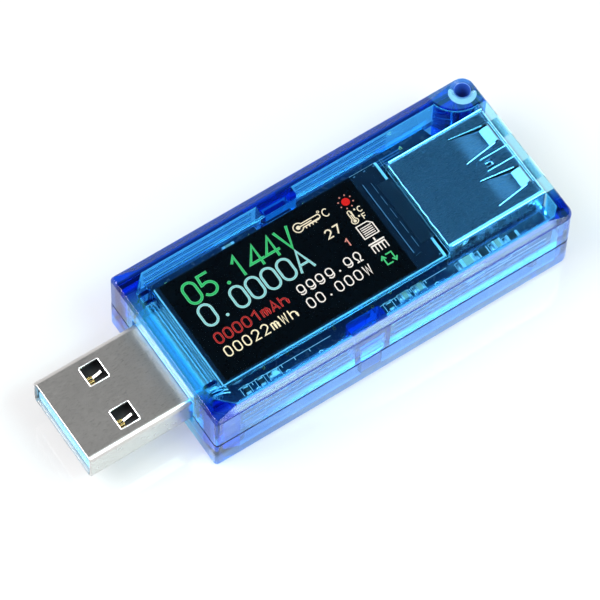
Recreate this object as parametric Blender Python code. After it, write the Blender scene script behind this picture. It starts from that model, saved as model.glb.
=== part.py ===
"""USB power meter: a clear case that plugs into a USB port, reads the current that passes through it, and
shows it on a small display.

Frame: metres, +Z up. The origin is the centre of the case's flat bottom face, +X runs from the plug to the
receptacle, and the display faces +Z with its lines of text along +X.
"""

import math

import bmesh
import bpy
from mathutils import Matrix, Vector

mm = 0.001

# Case
CASE_LENGTH = 49.3 * mm
CASE_WIDTH = 22.3 * mm
CASE_HEIGHT = 11.0 * mm
SEAM_HEIGHT = 5.0 * mm
SEAM_GAP = 0.1 * mm
SIDE_WALL = 1.25 * mm
PLUG_END_WALL = 1.6 * mm
SOCKET_END_WALL = 1.05 * mm
ROOF = 0.8 * mm
FLOOR = 1.0 * mm
PLUG_END_CORNER = 0.5 * mm
SOCKET_END_CORNER = 1.3 * mm
TOP_EDGE_ROUND = 0.3 * mm
BOTTOM_EDGE_ROUND = 1.2 * mm
CAVITY_CHAMFER = 1.9 * mm
WALL_GAP = 0.3 * mm

# Lanyard hole, concentric with the rounded corner it stands in
LANYARD_RADIUS = 1.0 * mm
LANYARD_CORNER = 1.6 * mm
LANYARD_POST = 3.9 * mm
LANYARD_COUNTERSINK = 0.45 * mm

# Snap lugs on the top cover's long walls and the hooks that enter them
LUG_CENTRE_X = -3.1 * mm
LUG_LENGTH = 4.8 * mm
LUG_DEPTH = 1.6 * mm
LUG_SKIN = 0.55 * mm
HOOK_LENGTH = 2.8 * mm
HOOK_THICKNESS = 0.6 * mm
HOOK_TOP = 7.1 * mm

# Plug, a type A tube
PLUG_WIDTH = 12.0 * mm
PLUG_HEIGHT = 4.5 * mm
PLUG_REACH = 13.5 * mm
PLUG_TUCK = 4.75 * mm
PLUG_WALL = 0.35 * mm
PLUG_BOTTOM = 3.5 * mm
PLUG_CORNER = 0.7 * mm
WINDOW_LENGTH = 2.5 * mm
WINDOW_WIDTH = 2.6 * mm
WINDOW_FROM_TIP = 5.1 * mm
WINDOW_CENTRE_Y = 3.2 * mm
TONGUE_THICKNESS = 1.8 * mm

# Receptacle, a type A tube
SOCKET_WIDTH = 13.2 * mm
SOCKET_HEIGHT = 5.7 * mm
SOCKET_LENGTH = 14.1 * mm
SOCKET_WALL = 0.3 * mm
SOCKET_TOP = 9.9 * mm
SOCKET_CORNER = 0.6 * mm
FINGER_CENTRE_Y = 3.25 * mm
FINGER_ROOT_WIDTH = 3.4 * mm
FINGER_TIP_WIDTH = 2.1 * mm
FINGER_FROM_MOUTH = 1.4 * mm
FINGER_LENGTH = 4.9 * mm
FINGER_SLOT = 0.3 * mm
LIP_LENGTH = 0.8 * mm
LIP_RISE = 0.25 * mm

# Board
BOARD_TOP = 6.4 * mm
BOARD_THICKNESS = 1.0 * mm
BOARD_EDGE_GAP = 0.4 * mm
PART_GAP = 0.05 * mm

# Display
DISPLAY_CENTRE_Y = 0.46 * mm
DISPLAY_LEFT = -20.9 * mm
DISPLAY_RIGHT = 9.7 * mm
DISPLAY_WIDTH = 14.5 * mm
DISPLAY_BOTTOM = 8.25 * mm
TRAY_HEIGHT = 0.75 * mm
GLASS_HEIGHT = 0.3 * mm
FACE_LEFT = -20.3 * mm
FACE_RIGHT = 5.9 * mm
FACE_WIDTH = 14.0 * mm
FACE_HEIGHT = 0.1 * mm

# Button in the bottom cover and the tactile switch above it
BUTTON_X = 5.0 * mm
BUTTON_RADIUS = 2.1 * mm
BUTTON_CLEARANCE = 0.2 * mm
BUTTON_RECESS = 0.15 * mm
BUTTON_FLANGE_RADIUS = 2.8 * mm
BUTTON_TRAVEL = 0.25 * mm
SWITCH_SIZE = 4.0 * mm
SWITCH_HEIGHT = 1.6 * mm
PLUNGER_RADIUS = 0.85 * mm
PLUNGER_DROP = 0.6 * mm

# Places worked out from the sizes above
HALF_LENGTH = CASE_LENGTH / 2
HALF_WIDTH = CASE_WIDTH / 2
CAVITY_LEFT = -HALF_LENGTH + PLUG_END_WALL
CAVITY_RIGHT = HALF_LENGTH - SOCKET_END_WALL
CAVITY_SIDE = HALF_WIDTH - SIDE_WALL
CAVITY_TOP = CASE_HEIGHT - ROOF
TOP_COVER_BOTTOM = SEAM_HEIGHT + SEAM_GAP
LANYARD_X = HALF_LENGTH - LANYARD_CORNER
LANYARD_Y = HALF_WIDTH - LANYARD_CORNER
BOARD_BOTTOM = BOARD_TOP - BOARD_THICKNESS
PLUG_TIP = -HALF_LENGTH - PLUG_REACH
PLUG_END = -HALF_LENGTH + PLUG_TUCK
PLUG_TOP = PLUG_BOTTOM + PLUG_HEIGHT
SOCKET_MOUTH = HALF_LENGTH - 0.25 * mm
SOCKET_REAR = SOCKET_MOUTH - SOCKET_LENGTH
SOCKET_BOTTOM = SOCKET_TOP - SOCKET_HEIGHT
PLUG_TONGUE_TOP = PLUG_BOTTOM + PLUG_WALL + 0.1 * mm + TONGUE_THICKNESS
SOCKET_TONGUE_BOTTOM = 7.1 * mm
GLASS_TOP = DISPLAY_BOTTOM + TRAY_HEIGHT + GLASS_HEIGHT + PART_GAP


def clear_scene():
    for obj in list(bpy.data.objects):
        bpy.data.objects.remove(obj, do_unlink=True)


def make_material(name, colour, roughness, metallic=0.0, transmission=0.0):
    material = bpy.data.materials.new(name)
    material.use_nodes = True
    shader = material.node_tree.nodes["Principled BSDF"]
    shader.inputs["Base Color"].default_value = (*colour, 1.0)
    shader.inputs["Roughness"].default_value = roughness
    shader.inputs["Metallic"].default_value = metallic
    shader.inputs["Transmission Weight"].default_value = transmission
    material.diffuse_color = (*colour, 1.0)
    return material


# Outlines: lists of (x, y) points, counter-clockwise seen from +Z


def corner_arc(x, y, radius, start, steps):
    """The points of a quarter circle of this centre and radius, from the angle start, counter-clockwise."""
    points = []
    for i in range(steps + 1):
        angle = start + math.pi / 2 * i / steps
        points.append((x + radius * math.cos(angle), y + radius * math.sin(angle)))
    return points


def rounded_rectangle(left, right, near, far, radii, steps=4):
    """radii holds the near left, near right, far right and far left corners' radii; 0 leaves a corner sharp."""
    near_left, near_right, far_right, far_left = radii
    corners = (
        (left + near_left, near + near_left, near_left, math.pi),
        (right - near_right, near + near_right, near_right, 1.5 * math.pi),
        (right - far_right, far - far_right, far_right, 0.0),
        (left + far_left, far - far_left, far_left, 0.5 * math.pi),
    )
    points = []
    for x, y, radius, start in corners:
        points += corner_arc(x, y, radius, start, steps) if radius else [(x, y)]
    return points


def case_outline():
    return rounded_rectangle(
        -HALF_LENGTH,
        HALF_LENGTH,
        -HALF_WIDTH,
        HALF_WIDTH,
        (PLUG_END_CORNER, SOCKET_END_CORNER, LANYARD_CORNER, PLUG_END_CORNER),
        6,
    )


def cavity_outline():
    """The hollow inside both covers: chamfered at the plug, and curved around the lanyard post."""
    centre_x = LANYARD_X - 0.05 * mm
    centre_y = HALF_WIDTH - 0.25 * mm
    start = math.atan2(-math.sqrt(LANYARD_POST**2 - (CAVITY_RIGHT - centre_x) ** 2), CAVITY_RIGHT - centre_x)
    end = math.atan2(CAVITY_SIDE - centre_y, -math.sqrt(LANYARD_POST**2 - (CAVITY_SIDE - centre_y) ** 2))
    sweep = (end - start) % (2 * math.pi) - 2 * math.pi
    steps = 8
    points = [
        (CAVITY_LEFT, -CAVITY_SIDE + CAVITY_CHAMFER),
        (CAVITY_LEFT + CAVITY_CHAMFER, -CAVITY_SIDE),
        (CAVITY_RIGHT - 1.0 * mm, -CAVITY_SIDE),
        (CAVITY_RIGHT, -CAVITY_SIDE + 1.0 * mm),
    ]
    for i in range(steps + 1):
        angle = start + sweep * i / steps
        points.append((centre_x + LANYARD_POST * math.cos(angle), centre_y + LANYARD_POST * math.sin(angle)))
    points += [
        (CAVITY_LEFT + CAVITY_CHAMFER, CAVITY_SIDE),
        (CAVITY_LEFT, CAVITY_SIDE - CAVITY_CHAMFER),
    ]
    return points


# Solids: each function returns a bmesh


def prism(outline, bottom, top):
    """The outline, which lies in X and Y, extruded from bottom to top."""
    solid = bmesh.new()
    face = solid.faces.new([solid.verts.new((x, y, bottom)) for x, y in outline])
    extruded = bmesh.ops.extrude_face_region(solid, geom=[face])["geom"]
    moved = [item for item in extruded if isinstance(item, bmesh.types.BMVert)]
    bmesh.ops.translate(solid, verts=moved, vec=(0, 0, top - bottom))
    bmesh.ops.recalc_face_normals(solid, faces=solid.faces)
    return solid


def block(low, high):
    return prism([(low[0], low[1]), (high[0], low[1]), (high[0], high[1]), (low[0], high[1])], low[2], high[2])


def tube_section(length_from, length_to, width, bottom, top, radius, steps=3):
    """A prism along X with a rounded rectangular section."""
    section = rounded_rectangle(-width / 2, width / 2, bottom, top, (radius,) * 4, steps)
    solid = prism(section, length_from, length_to)
    # the section's X and Y become the world's Y and Z, and its height becomes X
    turn = Matrix(((0, 0, 1, 0), (1, 0, 0, 0), (0, 1, 0, 0), (0, 0, 0, 1)))
    bmesh.ops.transform(solid, matrix=turn, verts=solid.verts)
    bmesh.ops.recalc_face_normals(solid, faces=solid.faces)
    return solid


def cylinder(x, y, radius, bottom, top, steps=24, top_radius=None):
    """A cylinder, or a cone where top_radius is given, standing along Z."""
    solid = bmesh.new()
    bmesh.ops.create_cone(
        solid,
        cap_ends=True,
        segments=steps,
        radius1=radius,
        radius2=radius if top_radius is None else top_radius,
        depth=top - bottom,
        matrix=Matrix.Translation((x, y, (bottom + top) / 2)),
    )
    return solid


def lathe(profile, x, y, steps=24):
    """The (radius, z) profile turned about the vertical line through x and y. Its ends lie on that line."""
    solid = bmesh.new()
    points = [solid.verts.new((x + radius, y, z)) for radius, z in profile]
    edges = [solid.edges.new(pair) for pair in zip(points, points[1:])]
    bmesh.ops.spin(
        solid,
        geom=points + edges,
        cent=(x, y, 0),
        axis=(0, 0, 1),
        angle=2 * math.pi,
        steps=steps,
        use_merge=True,
    )
    bmesh.ops.remove_doubles(solid, verts=solid.verts, dist=0.001 * mm)
    bmesh.ops.recalc_face_normals(solid, faces=solid.faces)
    return solid


def ribbon(path, widths, thickness, y):
    """A bent strip: path lists (x, z) points of its middle line, and widths its width in Y at each."""
    solid = bmesh.new()
    sections = []
    for i, (x, z) in enumerate(path):
        before = Vector(path[max(i - 1, 0)])
        after = Vector(path[min(i + 1, len(path) - 1)])
        here = Vector((x, z))
        along_in = (here - before).normalized() if i > 0 else (after - here).normalized()
        along_out = (after - here).normalized() if i < len(path) - 1 else along_in
        along = (along_in + along_out).normalized()
        normal = Vector((-along.y, along.x))
        reach = thickness / 2 / max(normal.dot(Vector((-along_in.y, along_in.x))), 0.5)
        half = widths[i] / 2
        corners = ((-half, -reach), (half, -reach), (half, reach), (-half, reach))
        sections.append([solid.verts.new((x + normal.x * r, y + w, z + normal.y * r)) for w, r in corners])
    for first, second in zip(sections, sections[1:]):
        for i in range(4):
            solid.faces.new((first[i], first[(i + 1) % 4], second[(i + 1) % 4], second[i]))
    solid.faces.new(sections[0])
    solid.faces.new(sections[-1])
    bmesh.ops.recalc_face_normals(solid, faces=solid.faces)
    return solid


# Objects


def add_object(name, solid, material=None):
    mesh = bpy.data.meshes.new(name)
    solid.to_mesh(mesh)
    solid.free()
    mesh.shade_smooth()
    mesh.set_sharp_from_angle(angle=math.radians(35))
    obj = bpy.data.objects.new(name, mesh)
    bpy.context.scene.collection.objects.link(obj)
    if material:
        mesh.materials.append(material)
    return obj


def combine(obj, solid, operation, label):
    """Adds a Boolean modifier whose hidden helper object is made from solid."""
    helper = add_object(f"helper_{obj.name}_{label}", solid)
    helper.hide_render = True
    helper.display_type = "WIRE"
    modifier = obj.modifiers.new(label, "BOOLEAN")
    modifier.operation = operation
    modifier.solver = "EXACT"
    modifier.object = helper


def cut(obj, solid, label):
    combine(obj, solid, "DIFFERENCE", label)


def join(obj, solid, label):
    combine(obj, solid, "UNION", label)


def round_edges(obj, width, segments, angle=40):
    modifier = obj.modifiers.new("round_edges", "BEVEL")
    modifier.width = width
    modifier.segments = segments
    modifier.limit_method = "ANGLE"
    modifier.angle_limit = math.radians(angle)


def move_origin(obj, point):
    """Puts the object's origin on its joint's axis and leaves its shape where it is."""
    obj.data.transform(Matrix.Translation(-Vector(point)))
    obj.location = point


def rounded_case_block(bottom, top, rounded_height, width, segments):
    """The case's outline as a prism, with the edges of the face at rounded_height rounded."""
    solid = prism(case_outline(), bottom, top)
    edges = [
        edge
        for edge in solid.edges
        if all(abs(vert.co.z - rounded_height) < 0.001 * mm for vert in edge.verts)
    ]
    bmesh.ops.bevel(
        solid,
        geom=edges,
        offset=width,
        offset_type="OFFSET",
        segments=segments,
        profile=0.5,
        affect="EDGES",
        clamp_overlap=True,
    )
    bmesh.ops.recalc_face_normals(solid, faces=solid.faces)
    return solid


def mirrored_sides():
    return (("near", -1), ("far", 1))


def cut_openings(cover):
    """The ports in both end walls, and the lanyard hole."""
    gap = WALL_GAP
    plug_port = block(
        (-HALF_LENGTH - gap, -PLUG_WIDTH / 2 - gap, PLUG_BOTTOM - gap),
        (CAVITY_LEFT + gap, PLUG_WIDTH / 2 + gap, PLUG_TOP + gap),
    )
    socket_port = block(
        (CAVITY_RIGHT - gap, -SOCKET_WIDTH / 2 - gap, SOCKET_BOTTOM - LIP_RISE - gap),
        (HALF_LENGTH + gap, SOCKET_WIDTH / 2 + gap, SOCKET_TOP + LIP_RISE + gap),
    )
    cut(cover, plug_port, "plug_port")
    cut(cover, socket_port, "socket_port")
    cut(cover, cylinder(LANYARD_X, LANYARD_Y, LANYARD_RADIUS, -gap, CASE_HEIGHT + gap), "lanyard_hole")


def snap_lug(side):
    near, far = sorted((side * (CAVITY_SIDE + 0.4 * mm), side * (CAVITY_SIDE - LUG_DEPTH)))
    radius = 0.5 * mm
    radii = (0, 0, radius, radius) if side < 0 else (radius, radius, 0, 0)
    left = LUG_CENTRE_X - LUG_LENGTH / 2
    return prism(
        rounded_rectangle(left, left + LUG_LENGTH, near, far, radii, 3), TOP_COVER_BOTTOM, CAVITY_TOP + 0.2 * mm
    )


def hook_slot(side):
    near, far = sorted((side * CAVITY_SIDE, side * (CAVITY_SIDE - LUG_DEPTH + LUG_SKIN)))
    half = HOOK_LENGTH / 2 + 0.3 * mm
    return block((LUG_CENTRE_X - half, near, SEAM_HEIGHT), (LUG_CENTRE_X + half, far, HOOK_TOP + 0.3 * mm))


def build_top_cover(material):
    shell = rounded_case_block(TOP_COVER_BOTTOM, CASE_HEIGHT, CASE_HEIGHT, TOP_EDGE_ROUND, 2)
    cover = add_object("top_cover", shell, material)
    cut(cover, prism(cavity_outline(), SEAM_HEIGHT - WALL_GAP, CAVITY_TOP), "cavity")
    for label, side in mirrored_sides():
        join(cover, snap_lug(side), f"{label}_lug")
        cut(cover, hook_slot(side), f"{label}_hook_slot")
        for i in range(2):
            edge = side * (CAVITY_SIDE - CAVITY_CHAMFER - (0.3 + 1.2 * i) * mm)
            near, far = sorted((edge, edge - side * 0.5 * mm))
            low = (CAVITY_LEFT - 0.3 * mm, near, BOARD_TOP + WALL_GAP)
            high = (CAVITY_LEFT + 1.6 * mm, far, CAVITY_TOP + 0.2 * mm)
            join(cover, block(low, high), f"{label}_rib_{i + 1}")
    cut_openings(cover)
    sink_radius = LANYARD_RADIUS + LANYARD_COUNTERSINK
    sink_bottom = CASE_HEIGHT - LANYARD_COUNTERSINK
    sink = cylinder(
        LANYARD_X, LANYARD_Y, LANYARD_RADIUS, sink_bottom, CASE_HEIGHT + 0.001 * mm, top_radius=sink_radius
    )
    cut(cover, sink, "lanyard_countersink")


def build_bottom_cover(material):
    shell = rounded_case_block(0, SEAM_HEIGHT, 0, BOTTOM_EDGE_ROUND, 4)
    cover = add_object("bottom_cover", shell, material)
    cut(cover, prism(cavity_outline(), FLOOR, SEAM_HEIGHT + WALL_GAP), "cavity")
    for label, side in mirrored_sides():
        outer = side * (CAVITY_SIDE - 0.15 * mm)
        near, far = sorted((outer, outer - side * HOOK_THICKNESS))
        half = HOOK_LENGTH / 2
        hook = block((LUG_CENTRE_X - half, near, FLOOR - 0.2 * mm), (LUG_CENTRE_X + half, far, HOOK_TOP))
        join(cover, hook, f"{label}_hook")
        near, far = sorted((side * (CAVITY_SIDE + 0.3 * mm), outer - side * HOOK_THICKNESS))
        root_top = SEAM_HEIGHT - 0.4 * mm
        root = block((LUG_CENTRE_X - half, near, FLOOR - 0.2 * mm), (LUG_CENTRE_X + half, far, root_top))
        join(cover, root, f"{label}_hook_root")
    posts = ((-20.6, -8.5), (-20.6, 8.5), (20.2, -8.4), (14.0, 8.5))
    for i, (x, y) in enumerate(posts):
        post = cylinder(x * mm, y * mm, 0.9 * mm, FLOOR - 0.2 * mm, BOARD_BOTTOM - WALL_GAP, 16)
        join(cover, post, f"board_post_{i + 1}")
    saddles = ((-21.6, 5.0, PLUG_BOTTOM), (13.0, 5.6, SOCKET_BOTTOM), (19.0, 5.6, SOCKET_BOTTOM))
    for i, (x, half, rest) in enumerate(saddles):
        low = ((x - 0.4) * mm, -half * mm, FLOOR - 0.2 * mm)
        high = ((x + 0.4) * mm, half * mm, rest - WALL_GAP - LIP_RISE)
        join(cover, block(low, high), f"saddle_{i + 1}")
    guide_radius = BUTTON_FLANGE_RADIUS + BUTTON_CLEARANCE
    guide_top = FLOOR + 1.2 * mm
    join(cover, cylinder(BUTTON_X, 0, guide_radius + 0.7 * mm, FLOOR - 0.2 * mm, guide_top, 32), "button_guide")
    cut(cover, cylinder(BUTTON_X, 0, guide_radius, FLOOR, guide_top + WALL_GAP, 32), "button_guide_bore")
    cut(cover, cylinder(BUTTON_X, 0, BUTTON_RADIUS + BUTTON_CLEARANCE, -WALL_GAP, FLOOR + WALL_GAP, 32), "button_hole")
    cut_openings(cover)


def build_board(material):
    """The board reaches around the plug's rear and both sides of the receptacle."""
    edge_y = CAVITY_SIDE - BOARD_EDGE_GAP
    left = CAVITY_LEFT + 0.6 * mm
    outline = [
        (left + CAVITY_CHAMFER, -edge_y),
        (CAVITY_RIGHT - 1.6 * mm, -edge_y),
        (CAVITY_RIGHT - 0.8 * mm, -edge_y + 0.8 * mm),
        (CAVITY_RIGHT - 0.8 * mm, 6.3 * mm),
        (18.4 * mm, 6.9 * mm),
        (17.6 * mm, edge_y),
        (left + CAVITY_CHAMFER, edge_y),
        (left, edge_y - CAVITY_CHAMFER),
        (left, -edge_y + CAVITY_CHAMFER),
    ]
    board = add_object("circuit_board", prism(outline, BOARD_BOTTOM, BOARD_TOP), material)
    half = PLUG_WIDTH / 2 + WALL_GAP
    cut(board, block((-30 * mm, -half, 0), (PLUG_END + WALL_GAP, half, CASE_HEIGHT)), "plug_notch")
    half = SOCKET_WIDTH / 2 + WALL_GAP
    cut(board, block((SOCKET_REAR - WALL_GAP, -half, 0), (30 * mm, half, CASE_HEIGHT)), "socket_notch")
    for label, side in mirrored_sides():
        near, far = sorted((side * HALF_WIDTH, side * (CAVITY_SIDE - LUG_DEPTH - 0.4 * mm)))
        half = LUG_LENGTH / 2 + 0.4 * mm
        notch = block((LUG_CENTRE_X - half, near, 0), (LUG_CENTRE_X + half, far, CASE_HEIGHT))
        cut(board, notch, f"{label}_lug_notch")


def build_plug(steel, blue_plastic, gold):
    shell = tube_section(PLUG_TIP, PLUG_END, PLUG_WIDTH, PLUG_BOTTOM, PLUG_TOP, PLUG_CORNER, 4)
    shell = add_object("plug_shell", shell, steel)
    inner_width = PLUG_WIDTH - 2 * PLUG_WALL
    bore = tube_section(
        PLUG_TIP - WALL_GAP,
        PLUG_END + WALL_GAP,
        inner_width,
        PLUG_BOTTOM + PLUG_WALL,
        PLUG_TOP - PLUG_WALL,
        PLUG_CORNER - PLUG_WALL,
        3,
    )
    cut(shell, bore, "bore")
    window_left = PLUG_TIP + WINDOW_FROM_TIP
    for label, side in mirrored_sides():
        near = side * WINDOW_CENTRE_Y - WINDOW_WIDTH / 2
        low = (window_left, near, PLUG_BOTTOM - WALL_GAP)
        high = (window_left + WINDOW_LENGTH, near + WINDOW_WIDTH, PLUG_TOP + WALL_GAP)
        cut(shell, block(low, high), f"{label}_windows")
        near, far = sorted((side * PLUG_WIDTH / 2, side * (PLUG_WIDTH / 2 - PLUG_WALL)))
        leg = block(
            (PLUG_END - 0.5 * mm, near, BOARD_TOP + 0.15 * mm), (PLUG_END + 2.2 * mm, far, BOARD_TOP + 0.9 * mm)
        )
        join(shell, leg, f"{label}_leg")

    half = inner_width / 2 - 0.1 * mm
    bottom = PLUG_BOTTOM + PLUG_WALL + 0.1 * mm
    top = PLUG_TOP - PLUG_WALL - 0.1 * mm
    block_front = PLUG_END - 5.6 * mm
    block_rear = PLUG_END - 0.2 * mm
    corner = PLUG_CORNER - PLUG_WALL
    tongue = tube_section(PLUG_TIP + 0.4 * mm, block_rear, 2 * half, bottom, PLUG_TONGUE_TOP, corner, 2)
    insulator = add_object("plug_insulator", tongue, blue_plastic)
    join(insulator, tube_section(block_front, block_rear, 2 * half, bottom, top, corner, 2), "rear_block")

    blade_z = PLUG_TONGUE_TOP + 0.2 * mm
    tail_z = BOARD_TOP + PART_GAP + 0.1 * mm
    tail_end = PLUG_END + 1.9 * mm
    for i, y in enumerate((-3.5 * mm, -1.0 * mm, 1.0 * mm, 3.5 * mm)):
        tip = PLUG_TIP + (1.5 * mm if i in (0, 3) else 2.4 * mm)
        step = PLUG_END + 0.05 * mm
        path = [(tip, blade_z), (step - 0.2 * mm, blade_z), (step, tail_z), (tail_end, tail_z)]
        widths = [1.0 * mm, 1.0 * mm, 0.6 * mm, 0.6 * mm]
        add_object(f"plug_contact_{i + 1}", ribbon(path, widths, 0.2 * mm, y), gold)
        low = (block_front - WALL_GAP, y - 0.6 * mm, PLUG_TONGUE_TOP)
        high = (block_rear + WALL_GAP, y + 0.6 * mm, blade_z + 0.2 * mm)
        cut(insulator, block(low, high), f"blade_channel_{i + 1}")

    arm_z = top - 0.6 * mm
    for i, y in enumerate((-4.6 * mm, -2.25 * mm, 0.0, 2.25 * mm, 4.6 * mm)):
        path = [
            (block_front - 3.0 * mm, blade_z + 0.25 * mm),
            (block_front - 2.2 * mm, blade_z + 0.1 * mm),
            (block_front, arm_z),
            (PLUG_END + 0.1 * mm, arm_z),
            (PLUG_END + 2.2 * mm, tail_z + 0.05 * mm),
            (PLUG_END + 3.2 * mm, tail_z + 0.05 * mm),
        ]
        add_object(f"plug_fast_contact_{i + 1}", ribbon(path, [0.5 * mm] * 6, 0.18 * mm, y), gold)
        low = (block_front - WALL_GAP, y - 0.35 * mm, arm_z - 0.25 * mm)
        high = (block_rear + WALL_GAP, y + 0.35 * mm, arm_z + 0.25 * mm)
        cut(insulator, block(low, high), f"arm_channel_{i + 1}")


def finger_outline(extra):
    """One spring finger seen from above, widened all round by extra."""
    tip = SOCKET_MOUTH - FINGER_FROM_MOUTH
    root = tip - FINGER_LENGTH
    return [
        (root, -FINGER_ROOT_WIDTH / 2 - extra),
        (tip + extra, -FINGER_TIP_WIDTH / 2 - extra),
        (tip + extra, FINGER_TIP_WIDTH / 2 + extra),
        (root, FINGER_ROOT_WIDTH / 2 + extra),
    ]


def spring_finger(y, wall_z, inward):
    """A finger that leaves the tube's wall at its root, dips inward and turns back out at its tip."""
    tip = SOCKET_MOUTH - FINGER_FROM_MOUTH
    root = tip - FINGER_LENGTH
    path = [
        (root - 0.4 * mm, wall_z),
        (root, wall_z),
        (tip - 1.5 * mm, wall_z + inward * 0.55 * mm),
        (tip, wall_z + inward * 0.1 * mm),
    ]
    narrow = FINGER_ROOT_WIDTH - (FINGER_ROOT_WIDTH - FINGER_TIP_WIDTH) * 0.7
    widths = [FINGER_ROOT_WIDTH, FINGER_ROOT_WIDTH, narrow, FINGER_TIP_WIDTH]
    return ribbon(path, widths, SOCKET_WALL * 0.96, y)


def build_socket(steel, black_plastic, gold):
    rim = SOCKET_MOUTH - LIP_LENGTH
    shell = tube_section(SOCKET_REAR, rim, SOCKET_WIDTH, SOCKET_BOTTOM, SOCKET_TOP, SOCKET_CORNER, 3)
    shell = add_object("receptacle_shell", shell, steel)
    bore = tube_section(
        SOCKET_REAR - WALL_GAP,
        SOCKET_MOUTH + WALL_GAP,
        SOCKET_WIDTH - 2 * SOCKET_WALL,
        SOCKET_BOTTOM + SOCKET_WALL,
        SOCKET_TOP - SOCKET_WALL,
        SOCKET_CORNER - SOCKET_WALL,
        2,
    )
    cut(shell, bore, "bore")
    walls = (
        ("top", SOCKET_TOP - SOCKET_WALL / 2, -1),
        ("bottom", SOCKET_BOTTOM + SOCKET_WALL / 2, 1),
    )
    for wall, wall_z, inward in walls:
        for label, side in mirrored_sides():
            y = side * FINGER_CENTRE_Y
            window = prism(finger_outline(FINGER_SLOT), wall_z - 0.4 * mm, wall_z + 0.4 * mm)
            bmesh.ops.translate(window, verts=window.verts, vec=(0, y, 0))
            cut(shell, window, f"{wall}_{label}_finger_window")
            join(shell, spring_finger(y, wall_z, inward), f"{wall}_{label}_finger")
        latch = block(
            (SOCKET_MOUTH - 4.6 * mm, -0.5 * mm, wall_z - 0.4 * mm),
            (SOCKET_MOUTH - 3.5 * mm, 0.5 * mm, wall_z + 0.4 * mm),
        )
        cut(shell, latch, f"{wall}_latch_window")
        for i, (y, width) in enumerate(((-3.2, 2.8), (3.3, 2.6))):
            path = [
                (rim - 0.15 * mm, wall_z),
                (rim, wall_z),
                (SOCKET_MOUTH + 0.05 * mm, wall_z - inward * LIP_RISE),
            ]
            join(shell, ribbon(path, [width * mm] * 3, SOCKET_WALL * 0.96, y * mm), f"{wall}_lip_{i + 1}")

    half = SOCKET_WIDTH / 2 - SOCKET_WALL - 0.1 * mm
    bottom = SOCKET_BOTTOM + SOCKET_WALL + 0.1 * mm
    top = SOCKET_TOP - SOCKET_WALL - 0.1 * mm
    block_front = SOCKET_REAR + 3.6 * mm
    insulator = block((SOCKET_REAR + 0.2 * mm, -half, bottom), (block_front, half, top))
    insulator = add_object("receptacle_insulator", insulator, black_plastic)
    tongue_low = (block_front - 0.3 * mm, -5.55 * mm, SOCKET_TONGUE_BOTTOM)
    tongue_high = (SOCKET_MOUTH - 1.1 * mm, 5.55 * mm, SOCKET_TONGUE_BOTTOM + TONGUE_THICKNESS)
    join(insulator, block(tongue_low, tongue_high), "tongue")

    tail_z = BOARD_BOTTOM - PART_GAP - 0.1 * mm
    arm_z = SOCKET_TONGUE_BOTTOM - 0.55 * mm
    for i, y in enumerate((-3.5 * mm, -1.0 * mm, 1.0 * mm, 3.5 * mm)):
        path = [
            (SOCKET_REAR - 1.9 * mm, tail_z),
            (SOCKET_REAR + 0.1 * mm, tail_z),
            (SOCKET_REAR + 1.2 * mm, arm_z),
            (block_front, arm_z),
            (block_front + 1.2 * mm, arm_z + 0.25 * mm),
            (block_front + 4.2 * mm, arm_z - 0.2 * mm),
            (block_front + 5.2 * mm, arm_z + 0.2 * mm),
        ]
        widths = [0.6 * mm, 0.6 * mm] + [1.0 * mm] * 5
        add_object(f"receptacle_contact_{i + 1}", ribbon(path, widths, 0.2 * mm, y), gold)
        low = (SOCKET_REAR, y - 0.6 * mm, tail_z - 0.25 * mm)
        high = (block_front + WALL_GAP, y + 0.6 * mm, arm_z + 0.2 * mm)
        cut(insulator, block(low, high), f"spring_channel_{i + 1}")
    for i, y in enumerate((-4.0 * mm, -2.0 * mm, 0.0, 2.0 * mm, 4.0 * mm)):
        low = (SOCKET_MOUTH - 4.4 * mm, y - 0.45 * mm, SOCKET_TONGUE_BOTTOM - PART_GAP - 0.12 * mm)
        high = (SOCKET_MOUTH - 1.5 * mm, y + 0.45 * mm, SOCKET_TONGUE_BOTTOM - PART_GAP)
        add_object(f"receptacle_fast_contact_{i + 1}", block(low, high), gold)


def display_block(left, right, width, bottom, top):
    half = width / 2
    return block((left, DISPLAY_CENTRE_Y - half, bottom), (right, DISPLAY_CENTRE_Y + half, top))


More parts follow.
